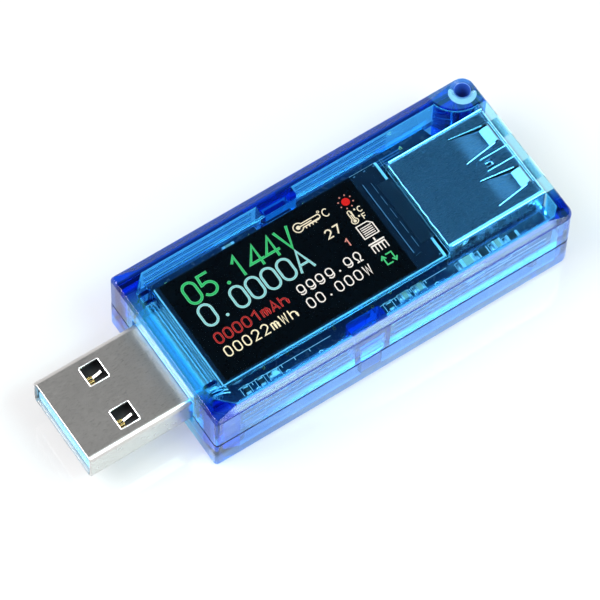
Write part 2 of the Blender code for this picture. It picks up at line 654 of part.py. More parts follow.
def build_display(white_plastic, glass, black_film, black_plastic, amber_film, foam):
    tray_top = DISPLAY_BOTTOM + TRAY_HEIGHT
    tray = display_block(DISPLAY_LEFT, DISPLAY_RIGHT, DISPLAY_WIDTH, DISPLAY_BOTTOM, tray_top)
    tray = add_object("display_tray", tray, white_plastic)
    round_edges(tray, 0.12 * mm, 1)

    ledge_top = GLASS_TOP - 0.14 * mm
    glass_left = DISPLAY_LEFT + 0.15 * mm
    glass_width = DISPLAY_WIDTH - 0.2 * mm
    panel = display_block(glass_left, DISPLAY_RIGHT - 0.4 * mm, glass_width, tray_top + PART_GAP, ledge_top)
    panel = add_object("display_glass", panel, glass)
    upper = display_block(glass_left, FACE_RIGHT, glass_width, ledge_top - 0.05 * mm, GLASS_TOP)
    join(panel, upper, "upper_glass")

    face = display_block(FACE_LEFT, FACE_RIGHT - 0.1 * mm, FACE_WIDTH, GLASS_TOP + 0.02 * mm, GLASS_TOP + FACE_HEIGHT)
    add_object("display_polariser", face, black_film)

    chip = display_block(6.5 * mm, 7.4 * mm, 11.0 * mm, ledge_top + 0.03 * mm, ledge_top + 0.28 * mm)
    add_object("display_driver_chip", chip, black_plastic)

    ledge_z = ledge_top + PART_GAP + 0.05 * mm
    board_z = BOARD_TOP + PART_GAP + 0.1 * mm
    turn = SOCKET_REAR - 0.2 * mm
    path = [
        (8.0 * mm, ledge_z),
        (turn - 0.5 * mm, ledge_z),
        (turn - 0.15 * mm, ledge_z - 0.15 * mm),
        (turn, ledge_z - 0.5 * mm),
        (turn, board_z + 0.5 * mm),
        (turn - 0.15 * mm, board_z + 0.15 * mm),
        (turn - 0.5 * mm, board_z),
        (5.6 * mm, board_z),
    ]
    cable = ribbon(path, [9.0 * mm] * len(path), 0.1 * mm, DISPLAY_CENTRE_Y)
    add_object("display_flex_cable", cable, amber_film)

    pad = display_block(-15.8 * mm, 3.6 * mm, 11.0 * mm, BOARD_TOP + 0.2 * mm, DISPLAY_BOTTOM - 0.1 * mm)
    pad = add_object("display_foam_pad", pad, foam)
    round_edges(pad, 0.2 * mm, 1)


def build_button(black_plastic, grey_plastic, steel):
    body_top = BOARD_BOTTOM - PART_GAP
    body_bottom = body_top - SWITCH_HEIGHT
    chamber_bottom = body_bottom + 0.6 * mm
    chamber_top = body_top - 0.3 * mm
    half = SWITCH_SIZE / 2
    body = block((BUTTON_X - half, -half, body_bottom), (BUTTON_X + half, half, body_top))
    body = add_object("switch_body", body, black_plastic)
    cut(body, cylinder(BUTTON_X, 0, 1.5 * mm, chamber_bottom, chamber_top), "dome_chamber")
    bore = PLUNGER_RADIUS + 0.1 * mm
    cut(body, cylinder(BUTTON_X, 0, bore, body_bottom - WALL_GAP, chamber_bottom + 0.1 * mm), "plunger_bore")

    stop_z = chamber_bottom + PART_GAP
    plunger_bottom = body_bottom - PLUNGER_DROP
    profile = [
        (0, plunger_bottom),
        (PLUNGER_RADIUS - 0.1 * mm, plunger_bottom),
        (PLUNGER_RADIUS, plunger_bottom + 0.1 * mm),
        (PLUNGER_RADIUS, stop_z),
        (1.2 * mm, stop_z),
        (1.2 * mm, stop_z + 0.2 * mm),
        (0, stop_z + 0.2 * mm),
    ]
    plunger = add_object("switch_plunger", lathe(profile, BUTTON_X, 0), grey_plastic)
    move_origin(plunger, (BUTTON_X, 0, plunger_bottom))

    rim_z = chamber_top - PART_GAP
    dome_height = BUTTON_TRAVEL + 0.1 * mm
    thickness = 0.08 * mm
    rim_radius = 1.35 * mm
    steps = 5
    lower = []
    upper = []
    for i in range(steps + 1):
        share = i / steps
        z = rim_z - thickness - (dome_height - thickness) * (1 - share**2)
        lower.append((rim_radius * share, z))
        upper.append((rim_radius * share, z + thickness))
    add_object("switch_dome", lathe(lower + upper[::-1], BUTTON_X, 0), steel)

    cap_top = plunger_bottom - PART_GAP
    flange_bottom = FLOOR + PART_GAP
    profile = [
        (0, BUTTON_RECESS),
        (BUTTON_RADIUS - 0.3 * mm, BUTTON_RECESS),
        (BUTTON_RADIUS, BUTTON_RECESS + 0.2 * mm),
        (BUTTON_RADIUS, flange_bottom),
        (BUTTON_FLANGE_RADIUS, flange_bottom),
        (BUTTON_FLANGE_RADIUS, flange_bottom + 0.5 * mm),
        (1.2 * mm, flange_bottom + 0.9 * mm),
        (1.2 * mm, cap_top),
        (0, cap_top),
    ]
    cap = add_object("button_cap", lathe(profile, BUTTON_X, 0, 32), black_plastic)
    move_origin(cap, (BUTTON_X, 0, BUTTON_RECESS))


def under_board_chip(name, x, y, size, material, pins=0):
    """A chip on the board's underside. pins is the number of bent legs on each long side."""
    length, width, height = size
    top = BOARD_BOTTOM - PART_GAP
    low = (x - length / 2, y - width / 2, top - height)
    chip = add_object(name, block(low, (x + length / 2, y + width / 2, top)), material)
    for i in range(pins):
        leg_x = x + (i - (pins - 1) / 2) * 1.27 * mm
        for side in (-1, 1):
            near, far = sorted((side * (width / 2 - 0.2 * mm), side * (width / 2 + 0.9 * mm)))
            leg = block((leg_x - 0.2 * mm, y + near, top - 0.25 * mm), (leg_x + 0.2 * mm, y + far, top - 0.02 * mm))
            join(chip, leg, f"leg_{i + 1}_{'near' if side < 0 else 'far'}")


def build_underside_parts(black_plastic, ceramic, steel):
    under_board_chip("microcontroller", -12.0 * mm, 0, (5.0 * mm, 5.0 * mm, 0.9 * mm), black_plastic)
    under_board_chip("current_sense_amplifier", -4.2 * mm, 3.4 * mm, (4.9 * mm, 3.9 * mm, 1.4 * mm), black_plastic, 4)
    under_board_chip("memory_chip", -4.2 * mm, -3.6 * mm, (4.9 * mm, 3.9 * mm, 1.4 * mm), black_plastic, 4)
    under_board_chip("voltage_regulator", 6.2 * mm, 5.8 * mm, (3.0 * mm, 1.6 * mm, 1.1 * mm), black_plastic, 2)
    under_board_chip("shunt_resistor", 5.6 * mm, -5.6 * mm, (6.4 * mm, 3.2 * mm, 0.7 * mm), ceramic)
    under_board_chip("crystal", -16.6 * mm, -4.6 * mm, (3.2 * mm, 2.5 * mm, 0.8 * mm), steel)


def build_top_side_parts(tan, black_plastic, white_plastic):
    """The small parts on the strip between the display and the near wall, and beside the receptacle."""
    parts = (
        ("capacitor_1", 3.5, -7.6, 1.0, 0.9, 0.6, tan),
        ("capacitor_2", 5.5, -7.6, 1.0, 0.9, 0.6, tan),
        ("capacitor_3", 11.9, -8.1, 2.0, 1.3, 1.1, tan),
        ("capacitor_4", 16.1, -8.1, 1.1, 1.3, 0.9, tan),
        ("capacitor_5", -10.0, 8.5, 1.6, 0.8, 0.7, tan),
        ("resistor_1", -18.2, -7.7, 0.6, 1.0, 0.35, black_plastic),
        ("resistor_2", -16.2, -7.7, 0.6, 1.0, 0.35, black_plastic),
        ("resistor_3", 1.4, -7.7, 0.6, 1.0, 0.35, black_plastic),
        ("protection_diode", 14.1, -8.1, 1.3, 1.2, 0.9, black_plastic),
        ("ferrite_bead", 18.1, -8.1, 1.6, 0.9, 0.8, black_plastic),
        ("status_light", -14.4, -7.7, 1.0, 0.7, 0.45, white_plastic),
    )
    for name, x, y, length, width, height, material in parts:
        low = (x * mm - length * mm / 2, y * mm - width * mm / 2, BOARD_TOP + PART_GAP)
        high = (x * mm + length * mm / 2, y * mm + width * mm / 2, BOARD_TOP + PART_GAP + height * mm)
        add_object(name, block(low, high), material)


def main():
    clear_scene()
    clear_blue = make_material("clear_blue", (0.10, 0.32, 0.85), 0.05, transmission=1.0)
    steel = make_material("steel", (0.62, 0.61, 0.60), 0.3, metallic=1.0)
    gold = make_material("gold", (0.85, 0.62, 0.25), 0.25, metallic=1.0)
    blue_plastic = make_material("blue_plastic", (0.25, 0.60, 0.85), 0.4)
    board_mask = make_material("board_mask", (0.01, 0.015, 0.03), 0.35)
    white_plastic = make_material("white_plastic", (0.85, 0.86, 0.88), 0.4)
    black_plastic = make_material("black_plastic", (0.02, 0.02, 0.022), 0.45)
    grey_plastic = make_material("grey_plastic", (0.3, 0.3, 0.32), 0.45)
    glass = make_material("display_glass", (0.03, 0.05, 0.12), 0.08)
    black_film = make_material("black_film", (0.003, 0.003, 0.004), 0.12)
    amber_film = make_material("amber_film", (0.55, 0.27, 0.05), 0.35)
    foam = make_material("foam", (0.05, 0.05, 0.05), 0.9)
    ceramic = make_material("ceramic", (0.12, 0.13, 0.12), 0.5)
    tan = make_material("capacitor_ceramic", (0.55, 0.42, 0.28), 0.5)

    build_top_cover(clear_blue)
    build_bottom_cover(clear_blue)
    build_board(board_mask)
    build_plug(steel, blue_plastic, gold)
    build_socket(steel, black_plastic, gold)
    build_display(white_plastic, glass, black_film, black_plastic, amber_film, foam)
    build_button(black_plastic, grey_plastic, steel)
    build_underside_parts(black_plastic, ceramic, steel)
    build_top_side_parts(tan, black_plastic, white_plastic)


main()
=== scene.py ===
"""Looks of the USB power meter: a clear blue case with bright steel ports and a lit display.

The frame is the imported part's: +X from the plug to the receptacle, +Z out of the display. Shapes are worked out
in millimetres. Their vertices are in the scene's metres.
"""

import random
from collections import namedtuple
from itertools import product
from math import atan2, copysign, cos, degrees, pi, radians, sin, sqrt

import bmesh
import bpy
from mathutils import Matrix, Vector


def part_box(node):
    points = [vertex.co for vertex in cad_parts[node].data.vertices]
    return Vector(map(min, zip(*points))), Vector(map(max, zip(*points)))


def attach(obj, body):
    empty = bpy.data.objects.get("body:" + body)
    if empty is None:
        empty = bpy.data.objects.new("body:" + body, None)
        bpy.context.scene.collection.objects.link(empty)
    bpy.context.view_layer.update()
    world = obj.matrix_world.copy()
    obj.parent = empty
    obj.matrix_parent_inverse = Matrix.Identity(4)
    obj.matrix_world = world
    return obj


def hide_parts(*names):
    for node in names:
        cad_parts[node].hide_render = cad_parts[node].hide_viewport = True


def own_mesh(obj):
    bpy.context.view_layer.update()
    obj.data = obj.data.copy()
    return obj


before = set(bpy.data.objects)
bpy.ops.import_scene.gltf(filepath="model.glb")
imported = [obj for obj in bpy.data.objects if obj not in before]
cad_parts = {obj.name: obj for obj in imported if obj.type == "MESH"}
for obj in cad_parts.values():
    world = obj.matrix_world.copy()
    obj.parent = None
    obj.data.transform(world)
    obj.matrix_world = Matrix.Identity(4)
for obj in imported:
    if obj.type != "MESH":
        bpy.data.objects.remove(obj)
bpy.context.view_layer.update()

mm = 0.001
Corner = namedtuple("Corner", "x y z")


def in_metres(point):
    return Vector([value * mm for value in point])


def in_millimetres(vector):
    return [value / mm for value in vector]


def box(node):
    """A CAD node's lowest and highest corners, in millimetres."""
    return [Corner(*in_millimetres(corner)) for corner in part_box(node)]


# Sizes of the case that the boxes of its nodes don't give
SIDE_WALL = 1.25
PLUG_END_WALL = 1.6
SOCKET_END_WALL = 1.05
ROOF = 0.8
FLOOR = 1.0
BASE_TOP = 5.0
PLUG_END_CORNER = 0.5
SOCKET_END_CORNER = 1.3
LANYARD_CORNER = 1.6
LANYARD_RADIUS = 1.0
LANYARD_SINK = 0.45
LANYARD_POST = 3.9
CAVITY_CHAMFER = 1.9
PORT_GAP = 0.3
LUG_X = -3.1
HOOK_TOP = 7.1
BUTTON_X = 5.0
SEAM_REVEAL = 0.09

# The sloped margin of the roof, as drops below the top and insets at the ends and at the sides
TOP_MARGIN = (
    (0.56, 0.0, 0.0), (0.47, 0.02, 0.03), (0.41, 0.05, 0.09), (0.37, 0.08, 0.16),
    (0.06, 0.24, 0.83), (0.02, 0.28, 0.93), (0.0, 0.34, 1.05),
)

# Boxes of the nodes that the pieces below are built around
TOP_LOW, TOP_HIGH = box("top_cover")
PLUG_LOW, PLUG_HIGH = box("plug_shell")
SOCKET_LOW, SOCKET_HIGH = box("receptacle_shell")
BOARD_LOW, BOARD_HIGH = box("circuit_board")
TRAY_LOW, TRAY_HIGH = box("display_tray")

SEAM = TOP_LOW.z
CAVITY_LEFT = TOP_LOW.x + PLUG_END_WALL
CAVITY_RIGHT = TOP_HIGH.x - SOCKET_END_WALL
CAVITY_SIDE = TOP_HIGH.y - SIDE_WALL
CAVITY_TOP = TOP_HIGH.z - ROOF
LANYARD_X = TOP_HIGH.x - LANYARD_CORNER
LANYARD_Y = TOP_HIGH.y - LANYARD_CORNER
POST_X = LANYARD_X - 0.05
POST_Y = TOP_HIGH.y - 0.25


# Camera, light and floor, in metres

VIEW_AZIMUTH = radians(-36.24)
VIEW_ELEVATION = radians(62.94)
VIEW_ROLL = radians(2.85)
VIEW_OFFSET = (-0.00473, -0.00125, 0.58086)

SCREEN_DIRECTION = (0.269, 0.367, 0.890)
SCREEN_EDGE = 0.93
SCREEN_CORE = 0.988


def add_camera():
    """Looks down at the case from its near side and its plug's end, turned a little off level."""
    reach = cos(VIEW_ELEVATION)
    back = Vector((sin(VIEW_AZIMUTH) * reach, -cos(VIEW_AZIMUTH) * reach, sin(VIEW_ELEVATION)))
    level = (-back).cross(Vector((0, 0, 1))).normalized()
    upright = level.cross(-back)
    right = level * cos(VIEW_ROLL) + upright * sin(VIEW_ROLL)
    up = upright * cos(VIEW_ROLL) - level * sin(VIEW_ROLL)
    camera = bpy.data.objects.new("camera", bpy.data.cameras.new("camera"))
    camera.data.sensor_width = 36.0
    camera.data.lens = 300.3
    camera.data.clip_start = 0.01
    camera.matrix_world = Matrix((right, up, back)).transposed().to_4x4() @ Matrix.Translation(VIEW_OFFSET)
    bpy.context.scene.collection.objects.link(camera)
    bpy.context.scene.camera = camera


def add_area_light(name, place, size, power, colour=(1.0, 1.0, 1.0)):
    """A rectangular light that faces the origin."""
    light = bpy.data.lights.new(name, "AREA")
    light.color = colour
    light.shape = "RECTANGLE"
    light.size, light.size_y = size
    light.energy = power
    obj = bpy.data.objects.new(name, light)
    obj.location = place
    obj.rotation_euler = (-Vector(place)).to_track_quat("-Z", "Y").to_euler()
    bpy.context.scene.collection.objects.link(obj)


def set_inputs(tree, node, *values, **named):
    """Sets or links a node's inputs, in their order or by name, with underscores for the spaces in the name."""
    pairs = [(node.inputs[i], value) for i, value in enumerate(values)]
    pairs += [(node.inputs[key.replace("_", " ")], value) for key, value in named.items()]
    for target, value in pairs:
        if isinstance(value, bpy.types.NodeSocket):
            tree.links.new(value, target)
        else:
            target.default_value = value


def add_node(tree, kind, *values, **named):
    node = tree.nodes.new(kind)
    set_inputs(tree, node, *values, **named)
    return node


def add_light():
    """A white studio with one dark screen high behind the object, so that flat glossy faces stay deep."""
    bpy.context.scene.view_settings.view_transform = "Standard"
    world = bpy.data.worlds.new("studio")
    world.use_nodes = True
    bpy.context.scene.world = world
    tree = world.node_tree
    direction = add_node(tree, "ShaderNodeTexCoord").outputs["Generated"]
    facing = add_node(tree, "ShaderNodeVectorMath", direction, SCREEN_DIRECTION)
    facing.operation = "DOT_PRODUCT"
    screen = add_node(tree, "ShaderNodeMapRange", facing.outputs["Value"], SCREEN_EDGE, SCREEN_CORE, 1.0, 0.03)
    screen.interpolation_type = "SMOOTHSTEP"
    set_inputs(tree, tree.nodes["Background"], Color=screen.outputs["Result"])
    add_area_light("key", (-0.30, 0.10, 0.40), (0.30, 0.30), 2.2)
    add_area_light("fill", (0.25, -0.40, 0.30), (0.35, 0.25), 1.0)
    add_area_light("edge_light", (0.135, -0.223, 0.427), (0.26, 0.10), 1.35, (0.66, 1.0, 0.98))


# Node materials


class Nodes:
    """A material's node tree, with short ways to add what the materials below share."""

    def __init__(self, name):
        self.material = bpy.data.materials.new(name)
        self.material.use_nodes = True
        self.tree = self.material.node_tree
        self.shader = self.tree.nodes["Principled BSDF"]

    def add(self, kind, *values, **named):
        return add_node(self.tree, kind, *values, **named)

    def set(self, **named):
        set_inputs(self.tree, self.shader, **named)

    def coordinates(self, scale=(1, 1, 1)):
        """Object coordinates in metres, stretched by scale."""
        place = self.add("ShaderNodeTexCoord").outputs["Object"]
        return self.add("ShaderNodeMapping", Vector=place, Scale=scale).outputs["Vector"]

    def noise(self, scale, stretch=(1, 1, 1), detail=3.0):
        place = self.coordinates(stretch)
        return self.add("ShaderNodeTexNoise", Vector=place, Scale=scale, Detail=detail, Roughness=0.5).outputs["Fac"]

    def ramp(self, value, *stops):
        """Each of the two stops is a position and a colour."""
        node = self.add("ShaderNodeValToRGB", value)
        for element, (position, colour) in zip(node.color_ramp.elements, stops):
            element.position = position
            element.color = (*colour, 1)
        return node.outputs["Color"]

    def span(self, value, low, high, start=0.0, end=1.0):
        """low up to where value is start, high from where it is end."""
        return self.add("ShaderNodeMapRange", value, start, end, low, high).outputs["Result"]

    def math(self, operation, *values):
        node = self.add("ShaderNodeMath", *values)
        node.operation = operation
        return node.outputs["Value"]

    def both(self, mask, other):
        return self.math("MULTIPLY", mask, other)

    def glow(self, *parts):
        """Adds up (mask, colour) pairs as the shader's own light."""
        total = None
        for mask, colour in parts:
            light = self.ramp(mask, (0.0, (0.0, 0.0, 0.0)), (1.0, colour))
            if total:
                mix = self.add("ShaderNodeMix", 1.0)
                mix.data_type, mix.blend_type = "RGBA", "ADD"
                self.tree.links.new(total, mix.inputs[6])
                self.tree.links.new(light, mix.inputs[7])
                light = mix.outputs[2]
            total = light
        self.set(Emission_Color=total, Emission_Strength=1.0)

    def bump(self, height, depth, strength=1.0):
        node = self.add("ShaderNodeBump", Strength=strength, Distance=depth * mm, Height=height)
        self.set(Normal=node.outputs["Normal"])


SLOPE_ROUGHNESS = 0.2
# Painted light: emission colours that lift the walls, the two ends, the base edge and the roof over the lanyard post
PAINTED_WALL_LIGHT = (0.008, 0.040, 0.11)
PAINTED_BASE_LIGHT = (0.06, 0.14, 0.34)
PAINTED_PLUG_END_LIGHT = (0.02, 0.12, 0.085)
PAINTED_SOCKET_END_LIGHT = (0.03, 0.11, 0.10)
PAINTED_CORNER_LIGHT = (0.02, 0.10, 0.17)


def make_clear_blue():
    """Moulded clear plastic, tinted through its thickness. Its walls, ends, base edge and the roof over the lanyard
    post carry painted light in their emission.
    """
    n = Nodes("clear_blue")
    n.set(Base_Color=(1.0, 1.0, 1.0, 1), IOR=1.49, Transmission_Weight=1.0)
    n.bump(n.noise(60.0, detail=0.0), 0.004, 0.08)
    x, y, z = n.add("ShaderNodeSeparateXYZ", n.coordinates((1 / mm, 1 / mm, 1 / mm))).outputs
    aside = n.math("ABSOLUTE", y)
    top = TOP_HIGH.z
    above = n.span(z, 0.0, SLOPE_ROUGHNESS, top - 0.48, top - 0.36)
    below = n.span(z, 1.0, 0.0, top - 0.03, top - 0.01)
    polish = n.span(n.noise(260.0), 0.0, 0.04, 0.35, 0.75)
    n.set(Roughness=n.math("ADD", polish, n.both(above, below)))
    in_wall = n.span(aside, 0.0, 1.0, CAVITY_SIDE - 0.2, CAVITY_SIDE + 0.2)
    in_middle = n.span(aside, 1.0, 0.0, 6.5, 8.5)
    in_plug_end = n.span(x, 1.0, 0.0, CAVITY_LEFT - 0.3, CAVITY_LEFT + 0.3)
    in_socket_end = n.span(x, 0.0, 1.0, CAVITY_RIGHT - 0.1, CAVITY_RIGHT + 0.1)
    past_side = n.math("SUBTRACT", aside, TOP_HIGH.y)
    past_end = n.math("SUBTRACT", n.math("ABSOLUTE", x), TOP_HIGH.x)
    on_skin = n.span(n.math("MAXIMUM", past_side, past_end), 0.0, 1.0, -0.5, -0.3)
    near_base = n.both(n.span(z, 1.0, 0.0, 2.1, 3.0), n.span(z, 0.0, 1.0, 0.2, 0.4))
    from_post = n.add("ShaderNodeVectorMath", n.coordinates((1 / mm, 1 / mm, 0)), (POST_X, POST_Y, 0))
    from_post.operation = "DISTANCE"
    in_post = n.span(from_post.outputs["Value"], 1.0, 0.0, LANYARD_POST - 0.1, LANYARD_POST + 0.1)
    on_top = n.span(z, 0.0, 1.0, CAVITY_TOP + 0.3, CAVITY_TOP + 0.5)
    # Painted light on the walls, the ends, the base edge and the roof over the post
    n.glow(
        (in_wall, PAINTED_WALL_LIGHT),
        (n.both(in_middle, in_plug_end), PAINTED_PLUG_END_LIGHT),
        (n.both(in_middle, in_socket_end), PAINTED_SOCKET_END_LIGHT),
        (n.both(on_skin, near_base), PAINTED_BASE_LIGHT),
        (n.both(in_post, on_top), PAINTED_CORNER_LIGHT),
    )
    clear = n.add("ShaderNodeBsdfTransparent", (0.96, 0.97, 0.98, 1))
    shadow = n.add("ShaderNodeLightPath").outputs["Is Shadow Ray"]
    mix = n.add("ShaderNodeMixShader", shadow, n.shader.outputs["BSDF"], clear.outputs["BSDF"])
    tint = n.add("ShaderNodeVolumeAbsorption", Color=(0.04, 0.69, 0.93, 1), Density=1250.0)
    output = n.tree.nodes["Material Output"]
    set_inputs(n.tree, output, Surface=mix.outputs["Shader"], Volume=tint.outputs["Volume"])
    return n.material


def make_metal(name, dark, light, tone, rough, finish, bump, depth, strength=0.5):
    """A bare metal of two tones. tone, finish and bump are the noises of its colour, roughness and relief."""
    n = Nodes(name)
    n.set(Metallic=1.0, Base_Color=n.ramp(n.noise(*tone), (0.3, dark), (0.7, light)))
    n.set(Roughness=n.span(n.noise(*finish), *rough, 0.3, 0.7))
    n.bump(n.noise(*bump), depth, strength)
    return n.material


def make_steel(name, colour, rough):
    """Nickel-plated sheet steel with a fine rolled grain along it and faint blotches."""
    dark = tuple(c * 0.9 for c in colour)
    grain = (1400.0, (1, 40, 1), 4.0)
    return make_metal(name, dark, colour, (320.0,), (rough * 0.85, rough * 1.2), grain, grain, 0.0012, 0.4)


def make_plastic(name, colour, rough, grain=2500.0, depth=0.004, gloss=0.5):
    """Moulded plastic with a fine spark-eroded texture and a slight change of tone."""
    n = Nodes(name)
    bright = tuple(min(c * 1.25, 1.0) for c in colour)
    n.set(Specular_IOR_Level=gloss, Base_Color=n.ramp(n.noise(420.0), (0.3, colour), (0.72, bright)))
    texture = n.noise(grain)
    n.set(Roughness=n.span(texture, rough * 0.85, rough * 1.2, 0.3, 0.7))
    n.bump(texture, depth, 0.5)
    return n.material


def make_foam():
    n = Nodes("foam")
    cells = n.add("ShaderNodeTexVoronoi", Vector=n.coordinates(), Scale=3500.0).outputs["Distance"]
    n.set(Roughness=0.95, Base_Color=n.ramp(cells, (0.0, (0.01, 0.01, 0.011)), (0.6, (0.05, 0.05, 0.052))))
    n.bump(cells, 0.06)
    return n.material


ROOF_TINT = (0.33, 0.68, 0.94)


def make_lit(name, colour):
    """Lit display dots with a fine dark grid between them, made up for what the roof takes out of the colour."""
    n = Nodes(name)
    pitch = 0.13 * mm
    grid = n.add("ShaderNodeTexBrick", n.coordinates(), Scale=1.0 / pitch, Mortar_Size=0.05, Brick_Width=1.0)
    grid.inputs["Row Height"].default_value = 1.0
    grid.offset = 0.0
    for key, share in (("Color1", 1.0), ("Color2", 0.92), ("Mortar", 0.6)):
        grid.inputs[key].default_value = (*(share * c / t for c, t in zip(colour, ROOF_TINT)), 1)
    n.set(Base_Color=(0.0, 0.0, 0.0, 1), Roughness=0.6, Specular_IOR_Level=0.0)
    n.set(Emission_Color=grid.outputs["Color"], Emission_Strength=1.0)
    return n.material


def make_floor():
    """A glossy white sheet that mirrors the object faintly."""
    n = Nodes("studio_floor")
    n.set(Base_Color=n.ramp(n.noise(3.0), (0.3, (0.40, 0.40, 0.405)), (0.7, (0.42, 0.42, 0.42))))
    n.set(Roughness=n.span(n.noise(40.0), 0.02, 0.05), IOR=1.45)
    n.set(Emission_Color=(1.0, 1.0, 1.0, 1), Emission_Strength=0.30)
    return n.material


CLEAR_BLUE = make_clear_blue()
STEEL = make_steel("plug_steel", (0.60, 0.58, 0.565), 0.30)
SOCKET_STEEL = make_steel("socket_steel", (0.50, 0.54, 0.66), 0.27)
# A brighter, glossier copy of the steel, for painted highlight lines on edges, rims and tabs
HIGHLIGHT_STEEL = make_steel("highlight_steel", (0.92, 0.92, 0.93), 0.10)
GOLD = make_metal(
    "gold_plate", (0.72, 0.47, 0.15), (0.93, 0.68, 0.28), (1200.0,),
    (0.16, 0.32), (1200.0,), (3000.0, (1, 8, 1)), 0.002,
)
SOLDER = make_metal(
    "solder", (0.80, 0.81, 0.83), (0.96, 0.96, 0.97), (900.0,), (0.34, 0.5), (900.0,), (1500.0,), 0.006
)
BLUE = make_plastic("blue_insulator", (0.22, 0.55, 0.80), 0.4)
BLACK = make_plastic("black_plastic", (0.012, 0.012, 0.014), 0.45)
GREY = make_plastic("grey_plastic", (0.25, 0.25, 0.26), 0.4)
WHITE = make_plastic("white_plastic", (0.78, 0.79, 0.80), 0.35)
BOARD_MASK = make_plastic("board_mask", (0.008, 0.018, 0.045), 0.25, 1500.0)
TRACE_MASK = make_plastic("trace_mask", (0.05, 0.12, 0.24), 0.25)
BOARD_INK = make_plastic("board_ink", (0.80, 0.80, 0.80), 0.6)
CERAMIC = make_plastic("capacitor_ceramic", (0.55, 0.42, 0.28), 0.4)
SEAM_SHADE = make_plastic("seam_painted_shade", (0.001, 0.002, 0.008), 0.5, gloss=0.2)
# Painted shade inside the lanyard hole
HOLE_SHADE_BLUE = make_plastic("hole_shade_blue", (0.03, 0.10, 0.46), 0.35)
# Painted highlights round the lanyard hole and its post
HIGHLIGHT_BLUE = make_plastic("painted_highlight_blue", (0.14, 0.26, 0.34), 0.4)
POLARISER = make_plastic("polariser_film", (0.0004, 0.0004, 0.0006), 0.3, depth=0.001, gloss=0.1)
LEDGE_GLASS = make_plastic("ledge_glass", (0.012, 0.013, 0.020), 0.2, depth=0.001, gloss=0.3)
TAPE = make_plastic("black_tape", (0.008, 0.010, 0.016), 0.35)
MARK_INK = make_plastic("mark_ink", (0.16, 0.20, 0.26), 0.5)
FOAM = make_foam()


# Meshes, from sizes in millimetres


def arc(x, y, across, up, start, end, steps=12):
    """Points of an ellipse's arc between two angles in degrees."""
    angles = [radians(start + (end - start) * i / steps) for i in range(steps + 1)]
    return [(x + across * cos(angle), y + up * sin(angle)) for angle in angles]


def circle(x, y, radius, steps=12):
    return arc(x, y, radius, radius, 0, 360 - 360 / steps, steps - 1)


def rounded_rectangle(left, right, near, far, radii, steps=8):
    """Counter-clockwise points. radii is one for all, or the near left, near right, far right and far left ones."""
    if isinstance(radii, float):
        radii = (radii,) * 4
    corners = ((left, near, 1, 1), (right, near, -1, 1), (right, far, -1, -1), (left, far, 1, -1))
    points = []
    for i, (radius, (x, y, inward, upward)) in enumerate(zip(radii, corners)):
        start = 180 + 90 * i
        bend = arc(x + inward * radius, y + upward * radius, radius, radius, start, start + 90, steps)
        points += bend if radius else [(x, y)]
    return points


def around(low, high, radius, steps, grow_x=0.0, grow_y=None):
    """A rounded rectangle round a box, grown by so much along X and Y."""
    grow_y = grow_x if grow_y is None else grow_y
    return rounded_rectangle(low[0] - grow_x, high[0] + grow_x, low[1] - grow_y, high[1] + grow_y, radius, steps)


def inset(outline, distance):
    """The outline moved inwards by distance, point for point."""
    points = [in_metres(point) for point in outline]
    moved_points = []
    for i, here in enumerate(points):
        before = (here - points[i - 1]).normalized()
        after = (points[(i + 1) % len(points)] - here).normalized()
        normal = Vector((-before.y - after.y, before.x + after.x)).normalized()
        reach = distance * mm / max(normal.dot(Vector((-after.y, after.x))), 0.4)
        moved_points.append(in_millimetres(here + normal * reach))
    return moved_points


def outward(solid):
    bmesh.ops.recalc_face_normals(solid, faces=solid.faces)
    return solid


def moved(solid, matrix):
    bmesh.ops.transform(solid, matrix=matrix, verts=solid.verts)
    return solid


def bevel(solid, edges, width):
    settings = {"segments": 2, "profile": 0.5, "affect": "EDGES", "clamp_overlap": True}
    bmesh.ops.bevel(solid, geom=edges, offset=width * mm, **settings)
    return outward(solid)


def skin(rings, looped=False):
    """A solid through rings of (x, y, z) points. looped joins the last ring to the first."""
    solid = bmesh.new()
    layers = [[solid.verts.new(in_metres(point)) for point in ring] for ring in rings]
    if looped:
        layers.append(layers[0])
    else:
        solid.faces.new(layers[0][::-1])
        solid.faces.new(layers[-1])
    for lower, upper in zip(layers, layers[1:]):
        for i in range(len(lower)):
            j = (i + 1) % len(lower)
            solid.faces.new((lower[i], lower[j], upper[j], upper[i]))
    return outward(solid)


def loft(rings):
    """A solid through rings of (outline, height), lowest first."""
    return skin([[(x, y, z) for x, y in outline] for outline, z in rings])


def between(outer, inner, bottom, top):
    """The flat ring between two outlines of as many points."""
    return skin([((*a, bottom), (*a, top), (*b, top), (*b, bottom)) for a, b in zip(outer, inner)], True)


def frame_ring(low, high, width, bottom, top):
    """A flat rectangular ring inside a box."""
    return between(around(low, high, 0.15, 3), around(low, high, 0.08, 3, -width), bottom, top)


def rounded_edge(radius, steps):
    """(inset, distance from the face) pairs along a quarter circle, from the side wall to the face."""
    angles = [radians(90 * i / steps) for i in range(steps + 1)] if radius else [0]
    return [(radius * (1 - cos(angle)), radius * (1 - sin(angle))) for angle in angles]


def prism(outline, bottom, top, bottom_round=0.0, top_round=0.0, steps=3):
    """The outline extruded along Z, with the edges of its two faces rounded."""
    rings = [(inset(outline, d), bottom + z) for d, z in rounded_edge(bottom_round, steps)[::-1]]
    return loft(rings + [(inset(outline, d), top - z) for d, z in rounded_edge(top_round, steps)])


def block(corner, opposite, edge=0.0):
    """A box between two opposite corners, with all its edges rounded."""
    solid = bmesh.new()
    bmesh.ops.create_cube(solid, size=1.0)
    low, high = (in_metres([pick(pair) for pair in zip(corner, opposite)]) for pick in (min, max))
    moved(solid, Matrix.Translation((low + high) / 2) @ Matrix.Diagonal((*(high - low), 1)))
    return bevel(solid, solid.edges, edge) if edge else solid


